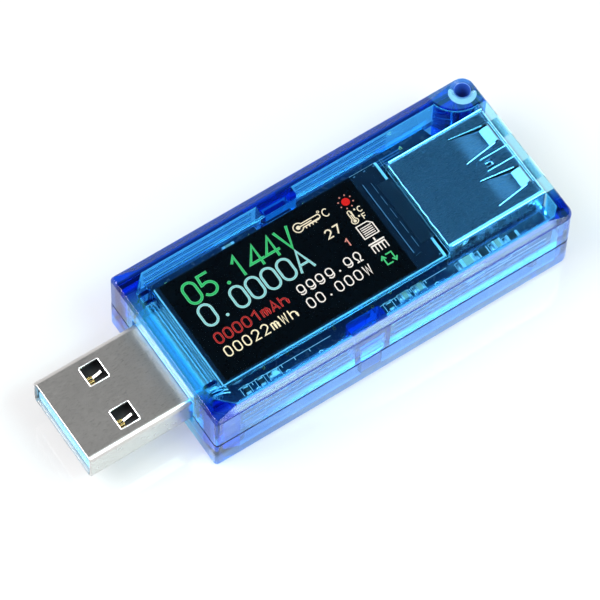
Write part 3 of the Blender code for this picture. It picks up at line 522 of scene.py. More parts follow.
def cylinder(x, y, radius, bottom, top, steps=48, top_radius=None):
    """A cylinder, or a cone where top_radius differs."""
    solid = bmesh.new()
    middle = Matrix.Translation(in_metres((x, y, (bottom + top) / 2)))
    sizes = {"radius1": radius * mm, "radius2": (top_radius or radius) * mm, "depth": (top - bottom) * mm}
    bmesh.ops.create_cone(solid, cap_ends=True, segments=steps, matrix=middle, **sizes)
    return solid


def lathe(profile, x, y, steps=48):
    """Turns (radius, height) points, listed from the axis outwards and back to it, around a vertical axis."""
    solid = bmesh.new()
    rings = []
    for radius, z in profile:
        outline = circle(x, y, radius, steps) if radius else [(x, y)]
        rings.append([solid.verts.new(in_metres((*point, z))) for point in outline])
    for lower, upper in zip(rings, rings[1:]):
        for i in range(steps):
            j = (i + 1) % steps
            corners = [lower[i % len(lower)], lower[j % len(lower)], upper[j % len(upper)], upper[i % len(upper)]]
            solid.faces.new(list(dict.fromkeys(corners)))
    return outward(solid)


def bent_strip(path, widths, thickness, y):
    """A strip of sheet metal that follows (x, z) points at y."""
    sections = []
    for i, (x, z) in enumerate(path):
        here = Vector((x, z))
        before = here - Vector(path[max(i - 1, 0)])
        after = Vector(path[min(i + 1, len(path) - 1)]) - here
        along = (before.normalized() + after.normalized()).normalized()
        normal = Vector((-along.y, along.x)) * thickness / 2
        half = widths[i] / 2
        corners = ((-half, -1), (half, -1), (half, 1), (-half, 1))
        sections.append([(x + normal.x * side, y + across, z + normal.y * side) for across, side in corners])
    return skin(sections)


def wire(points, radius, closed=False):
    """A round wire through (x, y, z) points."""
    points = [Vector(point) for point in points]
    last = len(points) - 1
    rings = []
    for i, here in enumerate(points):
        before = points[i - 1] if closed or i else here
        after = points[(i + 1) % (last + 1)] if closed or i < last else here
        along = (after - before).normalized()
        across = along.cross(Vector((0, 0, 1)))
        across = across.normalized() if across.length > 0.01 else Vector((1, 0, 0))
        upward = across.cross(along)
        rings.append([here + (across * u + upward * v) * radius for u, v in circle(0, 0, 1, 8)])
    return skin(rings, closed)


def stroke(points, width, bottom, thickness, closed=False):
    """A flat line of even width through (x, y) points."""
    points = [in_metres(point) for point in points]
    last = len(points) - 1
    sections = []
    for i, here in enumerate(points):
        before = here - points[i - 1] if closed or i else points[1] - here
        after = points[(i + 1) % (last + 1)] - here if closed or i < last else before
        before, after = before.normalized(), after.normalized()
        normal = Vector((-before.y - after.y, before.x + after.x))
        normal = normal.normalized() if normal.length > 0.01 else Vector((-after.y, after.x))
        reach = normal * (width * mm / 2 / max(normal.dot(Vector((-after.y, after.x))), 0.5))
        left, right, top = in_millimetres(here + reach), in_millimetres(here - reach), bottom + thickness
        sections.append([(*left, bottom), (*left, top), (*right, top), (*right, bottom)])
    return skin(sections, closed)


def merged(solids):
    """One bmesh that holds all the given ones side by side."""
    whole = bmesh.new()
    scratch = bpy.data.meshes.new("scratch")
    for solid in solids:
        solid.to_mesh(scratch)
        solid.free()
        whole.from_mesh(scratch)
    bpy.data.meshes.remove(scratch)
    return whole


def new_object(name, solid, material=None):
    """An object in the scene from a bmesh or a list of them."""
    if isinstance(solid, list):
        solid = merged(solid)
    mesh = bpy.data.meshes.new(name)
    solid.to_mesh(mesh)
    solid.free()
    obj = bpy.data.objects.new(name, mesh)
    bpy.context.scene.collection.objects.link(obj)
    if material:
        mesh.materials.append(material)
    return obj


def add_piece(name, solid, material, nodes=(), body="case", angle=35):
    """A visible piece that rides on body and stands for the CAD nodes named. Edges over angle stay sharp."""
    obj = new_object(name, solid, material)
    obj.data.shade_smooth()
    obj.data.set_sharp_from_angle(angle=radians(angle))
    modifier = obj.modifiers.new("even_normals", "WEIGHTED_NORMAL")
    modifier.keep_sharp = True
    modifier.weight = 100
    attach(obj, body)
    if nodes:
        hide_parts(*nodes)
    return obj


ADD, CUT = "UNION", "DIFFERENCE"


def carve(solid, steps):
    """The bmesh after a list of (operation, bmesh) Booleans, as a new bmesh."""
    obj = new_object("carving", solid)
    tools = [new_object("carving_tool", tool) for _, tool in steps]
    for (operation, _), tool in zip(steps, tools):
        modifier = obj.modifiers.new(operation, "BOOLEAN")
        modifier.operation = operation
        modifier.solver = "EXACT"
        modifier.object = tool
    bpy.context.view_layer.update()
    evaluated = obj.evaluated_get(bpy.context.evaluated_depsgraph_get())
    result = bmesh.new()
    result.from_mesh(evaluated.to_mesh())
    evaluated.to_mesh_clear()
    for used in [obj, *tools]:
        mesh = used.data
        bpy.data.objects.remove(used)
        bpy.data.meshes.remove(mesh)
    bmesh.ops.remove_doubles(result, verts=result.verts, dist=0.0005 * mm)
    return result


def refine(node, material, width, body="case"):
    """Replaces a CAD node by its own shape with its edges rounded by width."""
    solid = bmesh.new()
    solid.from_mesh(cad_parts[node].data)
    bmesh.ops.remove_doubles(solid, verts=solid.verts, dist=0.001 * mm)
    flat = radians(1)
    bmesh.ops.dissolve_limit(solid, angle_limit=flat, verts=solid.verts, edges=solid.edges, delimit={"NORMAL"})
    sharp = [e for e in solid.edges if e.is_manifold and e.calc_face_angle(0) > radians(25)]
    return add_piece(f"{node}_fine", bevel(solid, sharp, width), material, (node,), body)


# The clear case


def case_outline(ends, sides):
    """The case's outline drawn in by ends at its ends and corners, and by sides along most of its long sides."""
    corners = (PLUG_END_CORNER, SOCKET_END_CORNER, LANYARD_CORNER, PLUG_END_CORNER)
    radii = [max(radius - ends, 0.06) for radius in corners]
    steps, taper = 10, 3.2
    points = around(TOP_LOW, TOP_HIGH, radii, steps, -ends)
    quarters = [points[i:i + steps + 1] for i in range(0, len(points), steps + 1)]
    near, far = TOP_LOW.y + sides, TOP_HIGH.y - sides
    near_side = [(TOP_LOW.x + taper, near), (TOP_HIGH.x - taper, near)]
    far_side = [(TOP_HIGH.x - 2 * taper, far), (TOP_LOW.x + taper, far)]
    return quarters[0] + near_side + quarters[1] + quarters[2] + far_side + quarters[3]


def case_block(bottom, top, bottom_round, top_round=0.0, slope=()):
    """The case's outer shape between two heights. slope lists (drop, ends, sides) for a sloped top margin."""
    slope = slope or [(z, d, d) for d, z in rounded_edge(top_round, 6)]
    rings = [(case_outline(d, d), bottom + z) for d, z in rounded_edge(bottom_round, 6)[::-1]]
    return loft(rings + [(case_outline(ends, sides), top - drop) for drop, ends, sides in slope])


def cavity_outline():
    """Chamfered at the plug, and curved around the post of the lanyard hole."""
    reach_x, reach_y = CAVITY_RIGHT - POST_X, CAVITY_SIDE - POST_Y
    start = atan2(-sqrt(LANYARD_POST**2 - reach_x**2), reach_x)
    end = atan2(reach_y, -sqrt(LANYARD_POST**2 - reach_y**2))
    sweep = (end - start) % (2 * pi) - 2 * pi
    shoulder = CAVITY_LEFT + CAVITY_CHAMFER
    return [
        (CAVITY_LEFT, -CAVITY_SIDE + CAVITY_CHAMFER),
        (shoulder, -CAVITY_SIDE),
        (CAVITY_RIGHT - 1.0, -CAVITY_SIDE),
        (CAVITY_RIGHT, -CAVITY_SIDE + 1.0),
        *arc(POST_X, POST_Y, LANYARD_POST, LANYARD_POST, degrees(start), degrees(start + sweep), 40),
        (shoulder, CAVITY_SIDE),
        (CAVITY_LEFT, CAVITY_SIDE - CAVITY_CHAMFER),
    ]


def port_cutters():
    plug = block(
        (TOP_LOW.x - 1, PLUG_LOW.y - PORT_GAP, PLUG_LOW.z - PORT_GAP),
        (CAVITY_LEFT + PORT_GAP, PLUG_HIGH.y + PORT_GAP, PLUG_HIGH.z + PORT_GAP),
    )
    socket = block(
        (CAVITY_RIGHT - PORT_GAP, SOCKET_LOW.y - PORT_GAP, SOCKET_LOW.z - 0.25),
        (TOP_HIGH.x + 1, SOCKET_HIGH.y + PORT_GAP, SOCKET_HIGH.z + PORT_GAP),
    )
    return [(CUT, plug), (CUT, socket), (CUT, cylinder(LANYARD_X, LANYARD_Y, LANYARD_RADIUS, -1, TOP_HIGH.z + 1))]


def snap_lug(side):
    """A rounded boss on the inside of a long wall, which takes the hook from below."""
    near, far = sorted((side * (CAVITY_SIDE + 0.5), side * (CAVITY_SIDE - 1.6)))
    radii = (0, 0, 0.5, 0.5) if side < 0 else (0.5, 0.5, 0, 0)
    return prism(rounded_rectangle(LUG_X - 2.4, LUG_X + 2.4, near, far, radii, 5), SEAM, CAVITY_TOP + 0.2, 0.1)


def build_top_cover():
    steps = [(CUT, prism(cavity_outline(), SEAM - 1, CAVITY_TOP, 0, 0.25, 4))]
    inside = CAVITY_TOP + 0.2
    for side in (-1, 1):
        slot_high = (LUG_X + 1.7, side * (CAVITY_SIDE - 1.05), HOOK_TOP + 0.3)
        steps += [(ADD, snap_lug(side)), (CUT, block((LUG_X - 1.7, side * CAVITY_SIDE, SEAM - 1), slot_high, 0.1))]
        for drop in (0.3, 1.5):
            y = side * (CAVITY_SIDE - CAVITY_CHAMFER - drop)
            low = (CAVITY_LEFT - 0.3, y, BOARD_HIGH.z + 0.3)
            steps.append((ADD, block(low, (CAVITY_LEFT + 1.6, y - side * 0.5, inside), 0.08)))
    low, high = (TRAY_LOW.x - 0.75, TRAY_LOW.y - 0.75), (TRAY_HIGH.x + 0.35, TRAY_HIGH.y + 0.75)
    steps.append((ADD, frame_ring(low, high, 0.25, CAVITY_TOP - 0.3, inside)))
    for i in range(3):
        x = CAVITY_LEFT + 0.2 + 0.42 * i
        steps.append((ADD, block((x - 0.06, -6.4, CAVITY_TOP - 0.22), (x + 0.06, 6.4, inside), 0.04)))
    runs = ((-20.8, LUG_X - 3.0), (LUG_X + 3.0, 12.6))
    for side, z, (left, right) in product((-1, 1), (6.7, 7.9, 9.1), runs):
        low = (left, side * (CAVITY_SIDE + 0.2), z - 0.13)
        steps.append((ADD, block(low, (right, side * (CAVITY_SIDE - 0.2), z + 0.13), 0.1)))
    sink = cylinder(
        LANYARD_X, LANYARD_Y, LANYARD_RADIUS - 0.1, TOP_HIGH.z - LANYARD_SINK - 0.1, TOP_HIGH.z + 0.05, 64,
        LANYARD_RADIUS + LANYARD_SINK + 0.05,
    )
    steps += [*port_cutters(), (CUT, sink)]
    solid = carve(case_block(SEAM + SEAM_REVEAL, TOP_HIGH.z, 0.1, slope=TOP_MARGIN), steps)
    add_piece("top_cover_fine", solid, CLEAR_BLUE, ("top_cover",), angle=30)


def build_bottom_cover():
    steps = [(CUT, prism(cavity_outline(), FLOOR, BASE_TOP + 1, 0.25, 0, 4))]
    low_z = FLOOR - 0.2
    for side in (-1, 1):
        outer = side * (CAVITY_SIDE - 0.15)
        hook_low = (LUG_X - 1.4, outer - side * 0.6, low_z)
        steps.append((ADD, block(hook_low, (LUG_X + 1.4, outer, HOOK_TOP), 0.08)))
        steps.append((ADD, block(hook_low, (LUG_X + 1.4, side * (CAVITY_SIDE + 0.3), BASE_TOP - 0.4), 0.08)))
    for x, y in ((-20.6, -8.5), (-20.6, 8.5), (20.2, -8.4), (14.0, 8.5)):
        steps.append((ADD, cylinder(x, y, 0.9, low_z, BOARD_LOW.z - 0.3, 32)))
    for x, half, rest in ((-21.6, 5.0, PLUG_LOW.z), (13.0, 5.6, SOCKET_LOW.z), (19.0, 5.6, SOCKET_LOW.z)):
        steps.append((ADD, block((x - 0.4, -half, low_z), (x + 0.4, half, rest - 0.3), 0.08)))
    steps.append((ADD, cylinder(BUTTON_X, 0, 3.7, low_z, 2.2, 64)))
    for radius, bottom in ((3.0, FLOOR), (2.3, -1)):
        steps.append((CUT, cylinder(BUTTON_X, 0, radius, bottom, 3.0, 64)))
    steps += port_cutters()
    solid = carve(case_block(0, BASE_TOP - SEAM_REVEAL, 0.5, 0.1), steps)
    add_piece("bottom_cover_fine", solid, CLEAR_BLUE, ("bottom_cover",), angle=30)


def build_case_details():
    """A dark ring in the seam gap as a painted shade line, three curved ribs beside the display, a dark blue
    sleeve as painted shade in the lanyard hole, and a pale crescent and post edge as painted highlights.
    """
    # A dark ring in the seam gap: a painted shade line along the seam
    reach = SEAM_REVEAL - 0.02
    shade_ring = between(case_outline(0.01, 0.01), case_outline(0.45, 0.45), BASE_TOP - reach, SEAM + reach)
    add_piece("case_seam", carve(shade_ring, port_cutters()), SEAM_SHADE)

    ribs = []
    for i in range(3):
        shares = [k / 10 for k in range(11)]
        points = [(1.9 * u - 22.7, -6.75 - 0.42 * i - 0.55 * u * u, 9.7) for u in shares]
        ribs.append(wire(points, 0.075))
    add_piece("corner_ribs", ribs, WHITE)

    # A dark blue sleeve lining the lanyard hole: painted shade of the deep hole
    outer, inner = LANYARD_RADIUS - 0.01, LANYARD_RADIUS - 0.08
    low, high, middle = 0.35, TOP_HIGH.z - LANYARD_SINK - 0.05, (outer + inner) / 2
    profile = [(inner, low), (middle, low - 0.04), (outer, low), (outer, high), (middle, high + 0.04), (inner, high)]
    sleeve = skin([[(*p, z) for p in circle(LANYARD_X, LANYARD_Y, radius, 64)] for radius, z in profile], True)
    add_piece("lanyard_hole_shade", sleeve, HOLE_SHADE_BLUE)
    # A pale crescent round the hole's countersink: a painted highlight
    steps = 40
    rings = []
    for i in range(steps + 1):
        angle = radians(234 + 168 * (i / steps - 0.5))
        reach = 1.50 + 0.62 * sin(pi * i / steps) ** 0.6
        section = ((1.04, 0.47), (1.44, 0.09), (reach, 0.06), (reach, 0.11), (1.46, 0.14), (1.06, 0.52))
        rings.append([(LANYARD_X + r * cos(angle), LANYARD_Y + r * sin(angle), TOP_HIGH.z - d) for r, d in section])
    add_piece("lanyard_crescent", skin(rings), HIGHLIGHT_BLUE)
    # A pale wire along the post's edge: a painted highlight line
    edge = [(x, y, CAVITY_TOP - 0.06) for x, y in cavity_outline()[4:-2]]
    add_piece("lanyard_post_edge", wire(edge, 0.06), HIGHLIGHT_BLUE)


# The display


def glyph(char, a):
    """(lines, closed lines) of a character in a unit box; a is its width over its height."""
    r = 0.5 * a
    upper = arc(0.5, 1 - r, 0.5, r, 0, 180)
    shapes = {
        "0": ([], [upper + arc(0.5, r, 0.5, r, 180, 360)]),
        "1": ([[(0.05, 0.72), (0.75, 1.0), (0.75, 0.0)]], []),
        "2": ([arc(0.5, 1 - r, 0.5, r, 165, -35) + [(0.0, 0.0), (1.0, 0.0)]], []),
        "4": ([[(0.72, 0.0), (0.72, 1.0), (0.0, 0.28), (1.0, 0.28)]], []),
        "5": ([[(0.95, 1.0), (0.14, 1.0), (0.08, 0.56)] + arc(0.45, 0.3, 0.55, 0.3, 120, -150, 16)], []),
        "7": ([[(0.0, 1.0), (1.0, 1.0), (0.35, 0.0)]], []),
        "9": ([[(1.0, 1 - r)] + arc(0.5, r, 0.5, r, 0, -150)], [upper + arc(0.5, 0.5, 0.5, r * 0.8, 180, 360)]),
        "A": ([[(0.0, 0.0), (0.5, 1.0), (1.0, 0.0)], [(0.16, 0.33), (0.84, 0.33)]], []),
        "V": ([[(0.0, 1.0), (0.5, 0.0), (1.0, 1.0)]], []),
        "W": ([[(0.0, 1.0), (0.22, 0.0), (0.5, 0.85), (0.78, 0.0), (1.0, 1.0)]], []),
        "m": ([[(0.0, 0.0), (0.0, 0.72)]]
              + [[(x, 0.0), (x, 0.5)] + arc(x - 0.25, 0.5, 0.25, 0.2, 0, 180, 8) for x in (0.5, 1.0)], []),
        "h": ([[(0.0, 0.0), (0.0, 1.0)], [(1.0, 0.0), (1.0, 0.4)] + arc(0.5, 0.4, 0.5, 0.26, 0, 180, 8)], []),
        "C": ([arc(0.55, 0.5, 0.55, 0.5, 45, 315, 14)], []),
        "F": ([[(1.0, 1.0), (0.0, 1.0), (0.0, 0.0)], [(0.0, 0.52), (0.8, 0.52)]], []),
        "ohm": ([[(0.0, 0.0), (0.35, 0.0)] + arc(0.5, 0.6, 0.48, 0.4, 240, -60, 16) + [(0.65, 0.0), (1.0, 0.0)]], []),
    }
    return shapes[char]


INK_BOTTOM = box("display_polariser")[1].z + 0.02
INK_THICKNESS = 0.008


class Ink:
    """The flat strokes of one colour, as a bright core on a wider rim."""

    def __init__(self, rim=0.0):
        self.rim = rim
        self.strokes = []
        self.rim_strokes = []

    def lines(self, paths, width, closed=False):
        for path in paths:
            self.strokes.append(stroke(path, width, INK_BOTTOM, INK_THICKNESS, closed))
            if self.rim:
                wide = stroke(path, width + 2 * self.rim, INK_BOTTOM - 0.01, INK_THICKNESS, closed)
                self.rim_strokes.append(wide)

    def dot(self, x, y, radius, width, steps=12):
        self.lines([circle(x, y, radius, steps)], width, True)

    def text(self, chars, low, high, width, thick):
        """chars lists (character, centre x) or (character, centre x, width)."""
        for char, x, *own in chars:
            if char == ".":
                self.dot(x, low + 0.33, thick * 0.4, thick * 0.8)
                continue
            across, up = (own[0] if own else width) - thick, high - low - thick
            left, base = x - across / 2, low + thick / 2
            for closed, paths in zip((False, True), glyph(char, across / up)):
                self.lines([[(left + u * across, base + v * up) for u, v in path] for path in paths], thick, closed)

    def add(self, name, tone, colour, rim_colour=None):
        add_piece(name, self.strokes, make_lit(f"lit_{tone}", colour))
        if rim_colour:
            rim_look = make_lit(f"lit_{tone}_rim", rim_colour)
            add_piece(f"{name}_rim", self.rim_strokes, rim_look)


def build_readouts():
    volts = Ink(0.065)
    digits = [("0", -17.5), ("5", -15.39), (".", -13.23), ("1", -11.28, 1.1), ("4", -8.93, 2.1), ("4", -6.82, 2.0)]
    volts.text([*digits, ("V", -4.69, 1.94)], 3.31, 6.33, 1.83, 0.2)
    volts.add("volts_readout", "green", (0.03, 0.58, 0.17), (0.12, 0.80, 0.36))

    amps = Ink(0.065)
    digits = [("0", -17.5), (".", -15.6), ("0", -13.21), ("0", -11.08), ("0", -8.96), ("0", -6.82)]
    amps.text([*digits, ("A", -4.66, 1.99)], 0.0, 3.0, 1.83, 0.17)
    amps.add("amps_readout", "cyan", (0.26, 0.72, 0.80), (0.48, 0.95, 1.0))

    charge = Ink(0.05)
    places = [-18.07 + 1.25 * i for i in range(8)]
    charge.text(list(zip("00001mAh", places)), -2.33, -0.89, 0.95, 0.1)
    charge.add("charge_readout", "red", (0.30, 0.0, 0.0), (0.75, 0.10, 0.10))

    energy = Ink()
    energy.text(list(zip("00022mWh", places)), -4.31, -2.87, 0.95, 0.16)
    energy.add("energy_readout", "yellow", (1.10, 1.06, 0.78))

    white = Ink()
    ohms = [("9", -6.82), ("9", -5.53), ("9", -4.28), ("9", -2.94), (".", -1.78), ("9", -0.42), ("ohm", 0.86)]
    white.text(ohms, -2.33, -0.89, 0.95, 0.15)
    watts = [("0", -6.82), ("0", -5.53), (".", -4.3), ("0", -2.94), ("0", -1.63), ("0", -0.36), ("W", 0.94)]
    white.text(watts, -4.31, -2.87, 0.95, 0.15)
    white.lines([[(2.85, -0.2), (4.8, -0.2), (4.8, 1.2), (4.35, 1.65), (2.85, 1.65)]], 0.14, True)
    white.lines([[(3.1, y), (4.55, y)] for y in (0.1, 0.37, 0.64, 0.91, 1.18)], 0.11)
    white.lines([[(3.8, -0.5), (3.8, -0.95)], [(2.75, -1.1), (4.88, -1.1)], [(2.85, -1.42), (4.78, -1.42)]], 0.2)
    white.lines([[(x, -1.5), (x, -2.4)] for x in (2.9, 3.36, 3.82, 4.28, 4.74)], 0.14)
    white.add("white_readout", "white", (1.05, 1.05, 1.05))

    cream = Ink()
    bulb = arc(-2.72, 5.22, 0.6, 0.6, 28, 332, 20)
    cream.lines([bulb + [(-0.05, 4.94)] + arc(-0.05, 5.22, 0.28, 0.28, -90, 90, 8)], 0.13, True)
    cream.dot(-2.72, 5.22, 0.13, 0.26)
    cream.lines([[(-2.5, 5.22), (-0.9, 5.22)]], 0.14)
    cream.lines([[(x, 4.9), (x, 4.62)] for x in (-1.9, -1.45, -1.0, -0.55)], 0.13)
    cream.dot(0.28, 5.72, 0.13, 0.09)
    cream.text([("C", 0.98, 0.83)], 4.61, 5.72, 0.83, 0.13)
    cream.text([("2", -0.22), ("7", 0.88)], 2.0, 3.28, 0.88, 0.18)
    tube = arc(3.25, 2.4, 0.42, 0.36, 120, 420, 16) + [(3.46, 3.7)] + arc(3.25, 3.7, 0.21, 0.19, 0, 180, 8)
    cream.lines([tube], 0.12, True)
    cream.dot(3.25, 2.4, 0.1, 0.2)
    cream.lines([[(3.25, 2.4), (3.25, 3.3)]], 0.12)
    cream.text([("C", 4.55, 0.6)], 3.05, 3.85, 0.6, 0.12)
    cream.text([("F", 4.55, 0.55)], 2.0, 2.8, 0.55, 0.12)
    cream.lines([arc(4.0, y, 0.07, 0.07, 0, 330, 8) for y in (3.7, 2.7)], 0.1, True)
    cream.add("cream_readout", "cream", (1.00, 0.95, 0.76))

    sun_x, sun_y = 3.72, 5.06
    sun = Ink()
    sun.lines([arc(sun_x, sun_y, 0.25, 0.25, 0, 345, 18)], 0.5, True)
    sun.add("sun_disc", "sun", (0.75, 0.02, 0.02))
    pink = Ink()
    aims = [radians(22.5 + 45 * i) for i in range(8)]
    pink.lines([[(sun_x + r * cos(a), sun_y + r * sin(a)) for r in (0.79, 0.96)] for a in aims], 0.15)
    pink.text([("1", 0.98, 0.6)], -0.06, 1.11, 0.6, 0.17)
    pink.add("pink_readout", "pink", (0.80, 0.34, 0.30))

    loop = Ink()
    arrow = ([(0.15, -0.62), (-0.62, -0.62), (-0.62, 0.35)], [(-0.95, 0.15), (-0.62, 0.6), (-0.3, 0.15)])
    for turn in (1, -1):
        loop.lines([[(3.86 + turn * x, -3.7 + turn * y) for x, y in line] for line in arrow], 0.17)
    loop.add("loop_readout", "loop", (0.08, 0.72, 0.28))


def build_display():
    shelf = TRAY_HIGH.z - 0.2
    tray = [block(TRAY_LOW, (TRAY_HIGH.x, TRAY_HIGH.y, shelf), 0.08)]
    tray.append(frame_ring(TRAY_LOW, TRAY_HIGH, 0.3, shelf - 0.05, TRAY_HIGH.z))
    add_piece("display_tray_fine", tray, WHITE, ("display_tray",))
    refine("display_glass", LEDGE_GLASS, 0.04)
    refine("display_polariser", POLARISER, 0.03)
    low, high = box("display_foam_pad")
    pad = prism(around(low, high, 0.6, 5), low.z, high.z, 0.2, 0.2)
    add_piece("display_foam_pad_fine", pad, FOAM, ("display_foam_pad",))
    refine("display_driver_chip", LEDGE_GLASS, 0.03)
    refine("display_flex_cable", TAPE, 0.02)
    low, high = (TRAY_LOW.x - 0.06, TRAY_LOW.y - 0.06), (TRAY_HIGH.x + 0.06, TRAY_HIGH.y + 0.06)
    wrap = frame_ring(low, high, 0.05, TRAY_LOW.z - 0.02, TRAY_HIGH.z - 0.02)
    add_piece("display_wrap", wrap, TAPE)
    ledge = box("display_glass")[0].z + 0.17
    lines = [([(6.59, -4.7), (6.59, 5.8)], 0.08, box("display_driver_chip")[1].z)]
    for far, near in ((5.6, 4.0), (3.6, 2.2), (1.7, 0.2), (-0.3, -2.1), (-2.6, -4.2)):
        lines.append(([(7.62, far), (7.62, near)], 0.05, ledge))
    for x, y in ((7.7, 7.3), (9.0, 7.3), (6.3, 7.3), (9.0, -6.3)):
        lines.append(([(x, y), (x + 0.25, y)], 0.12, ledge))
    add_piece("display_marks", [stroke(*line, 0.02) for line in lines], MARK_INK)


# The board

ROW_PARTS = (
    "resistor_1", "resistor_2", "resistor_3", "status_light", "capacitor_1", "capacitor_2", "capacitor_3",
    "capacitor_4", "ferrite_bead", "protection_diode",
)
UNDERSIDE_GAPS = {
    "microcontroller": 0.5, "current_sense_amplifier": 0.3, "memory_chip": 0.3, "voltage_regulator": 0.3,
    "shunt_resistor": 0.3, "crystal": 0.25, "switch_body": 0.5,
}


def build_board():
    refine("circuit_board", BOARD_MASK, 0.04)
    rng = random.Random(7)
    lines, vias, marks = [], [], []
    under, over = BOARD_LOW.z - 0.012, BOARD_HIGH.z - 0.004
    for _ in range(26):
        x, y = rng.uniform(-19.5, 7.0), rng.uniform(-8.2, 8.2)
        run, jog = rng.uniform(2.0, 6.0), rng.choice((-0.8, 0.8, 1.4, -1.4))
        turn = x + run * 0.4
        path = [(x, y), (turn, y), (turn + abs(jog), y + jog), (x + run + abs(jog), y + jog)]
        path = [(min(u, 8.6), max(-9.0, min(v, 9.0))) for u, v in path]
        if path[-1][0] - path[-2][0] < 0.1 or any(abs(u - LUG_X) < 3.2 and abs(v) > 7.6 for u, v in path):
            continue
        lines.append(stroke(path, rng.choice((0.16, 0.22, 0.4)), under, 0.016))
        vias += [path[0], path[-1]]
    for y, spans in ((-8.75, ((-18.5, -7.0), (0.5, 9.5), (11.0, 21.0))), (8.75, ((-18.5, -7.0), (0.5, 14.0)))):
        for start, end in spans:
            for k in range(3):
                level = y - copysign(0.34 * k, y)
                lines.append(stroke([(start + 0.4 * k, level), (end - 0.4 * k, level)], 0.16, over, 0.016))
            vias += [(start, y), (end, y)]
    add_piece("board_traces", lines, TRACE_MASK)
    levels = (under - 0.004, over + 0.002)
    rings = [stroke(circle(x, y, 0.15), 0.12, level, 0.02, True) for x, y in vias for level in levels]
    add_piece("board_vias", rings, GOLD)

    def mark(points, width, level=over, closed=False):
        marks.append(stroke(points, width, level, 0.02, closed))

    for x in (-17.2, -13.2, -11.4, -9.4, 2.4, 4.5, 6.6):
        mark([(x, -8.25), (x + 0.7, -8.25)], 0.12)
        mark([(x, -7.0), (x, -7.45)], 0.1)
    for start, end, y in ((-19.0, -6.4, -7.05), (0.4, 9.6, -7.05), (-19.4, -6.4, -9.2), (0.4, 21.5, -9.2)):
        mark([(start, y), (end, y)], 0.07)
    for x in (-16.9, -12.9, -8.4, 7.6):
        mark(circle(x, -8.3, 0.3), 0.1, closed=True)
    for node in ROW_PARTS:
        mark(around(*box(node), 0.05, 1, 0.28, 0.22), 0.07, closed=True)
    for node, gap in UNDERSIDE_GAPS.items():
        low, high = box(node)
        mark(around(low, high, 0.2, 3, gap), 0.12, under, True)
        mark(circle(low.x - gap - 0.35, high.y, 0.08, 9), 0.12, under, True)
    add_piece("board_marks", marks, BOARD_INK)


def solder_dome(x, y, across, along, base, height):
    """A flattened drop of solder on the board; a negative height hangs below it."""
    bow = arc(0, base, 0.5, height, 0, 90, 6)[:-1]
    solid = lathe([(0.0, base), *bow, (0.0, base + height)], 0, 0, 20)
    return outward(moved(solid, Matrix.Translation(in_metres((x, y, 0))) @ Matrix.Diagonal((along, across, 1, 1))))


def chip_part(node, material, end=0.24, axis=0):
    """A surface-mount part: a body between two metal ends, each with its fillet of solder."""
    low, high = map(Vector, box(node))
    middle, size = (low + high) / 2, high - low
    reach = end * size[axis]
    body_low, body_high = low + Vector((0.02, 0.02, 0.02)), high - Vector((0.02, 0.02, 0.02))
    body_low[axis] = low[axis] + reach - 0.02
    body_high[axis] = high[axis] - reach + 0.02
    metal = []
    for corner, opposite, inward in ((low, high, 1), (high, low, -1)):
        inner = opposite.copy()
        inner[axis] = corner[axis] + inward * reach
        metal.append(block(corner, inner, 0.05))
    for corner in (low, high):
        place, spread = middle.copy(), size.copy()
        place[axis], spread[axis] = corner[axis], 0.55
        metal.append(solder_dome(place.x, place.y, spread.y, spread.x, BOARD_HIGH.z, 0.25))
    add_piece(f"{node}_body", block(body_low, body_high, 0.05), material, (node,))
    add_piece(f"{node}_ends", metal, SOLDER)


def build_small_parts():
    for i in range(1, 6):
        chip_part(f"capacitor_{i}", CERAMIC)
    for i in range(1, 4):
        chip_part(f"resistor_{i}", BLACK, 0.22, 1)
    chip_part("ferrite_bead", BLACK, 0.2)
    chip_part("protection_diode", BLACK, 0.12)
    chip_part("status_light", WHITE, 0.2)


def under_chip(node, legs=0, pads=0):
    """A moulded chip below the board: a body with a parting line and a dimple, and its legs or pads."""
    low, high = map(Vector, box(node))
    centre, size = (low + high) / 2, high - low
    reach = 0.7 if legs else 0.0
    near, far = low.y + reach, high.y - reach
    outline = rounded_rectangle(low.x, high.x, near, far, 0.05, 2)
    body = loft([(inset(outline, 0.08), low.z), (outline, centre.z), (inset(outline, 0.048), high.z)])
    body = carve(body, [(CUT, cylinder(low.x + 0.6, far - 0.6, 0.25, low.z - 0.1, low.z + 0.06, 24))])
    metal = []
    foot = BOARD_LOW.z - 0.1
    turn = Matrix(((0, 1, 0, 0), (1, 0, 0, 0), (0, 0, 1, 0), (0, 0, 0, 1)))
    for i in range(legs):
        x = centre.x + (i - (legs - 1) / 2) * 1.27
        for side, edge, tip in ((-1, near, low.y), (1, far, high.y)):
            path = [(edge - side * 0.1, centre.z), (edge + side * 0.2, centre.z)]
            path += [(edge + side * 0.35, foot), (tip, foot)]
            place = Matrix.Translation(in_metres((x, 0, 0))) @ turn
            metal.append(outward(moved(bent_strip(path, [0.4] * 4, 0.15, 0), place)))
            metal.append(solder_dome(x, tip, 0.5, 0.6, BOARD_LOW.z, -0.14))
    for i in range(pads):
        offset = (i - (pads - 1) / 2) * size.x * 0.82 / pads
        for side in (-0.5, 0.5):
            metal.append(solder_dome(centre.x + side * size.x, centre.y + offset, 0.26, 0.5, BOARD_LOW.z, -0.2))
            metal.append(solder_dome(centre.x + offset, centre.y + side * size.y, 0.5, 0.26, BOARD_LOW.z, -0.2))
    add_piece(f"{node}_body", body, BLACK, (node,))
    add_piece(f"{node}_legs", metal, SOLDER)


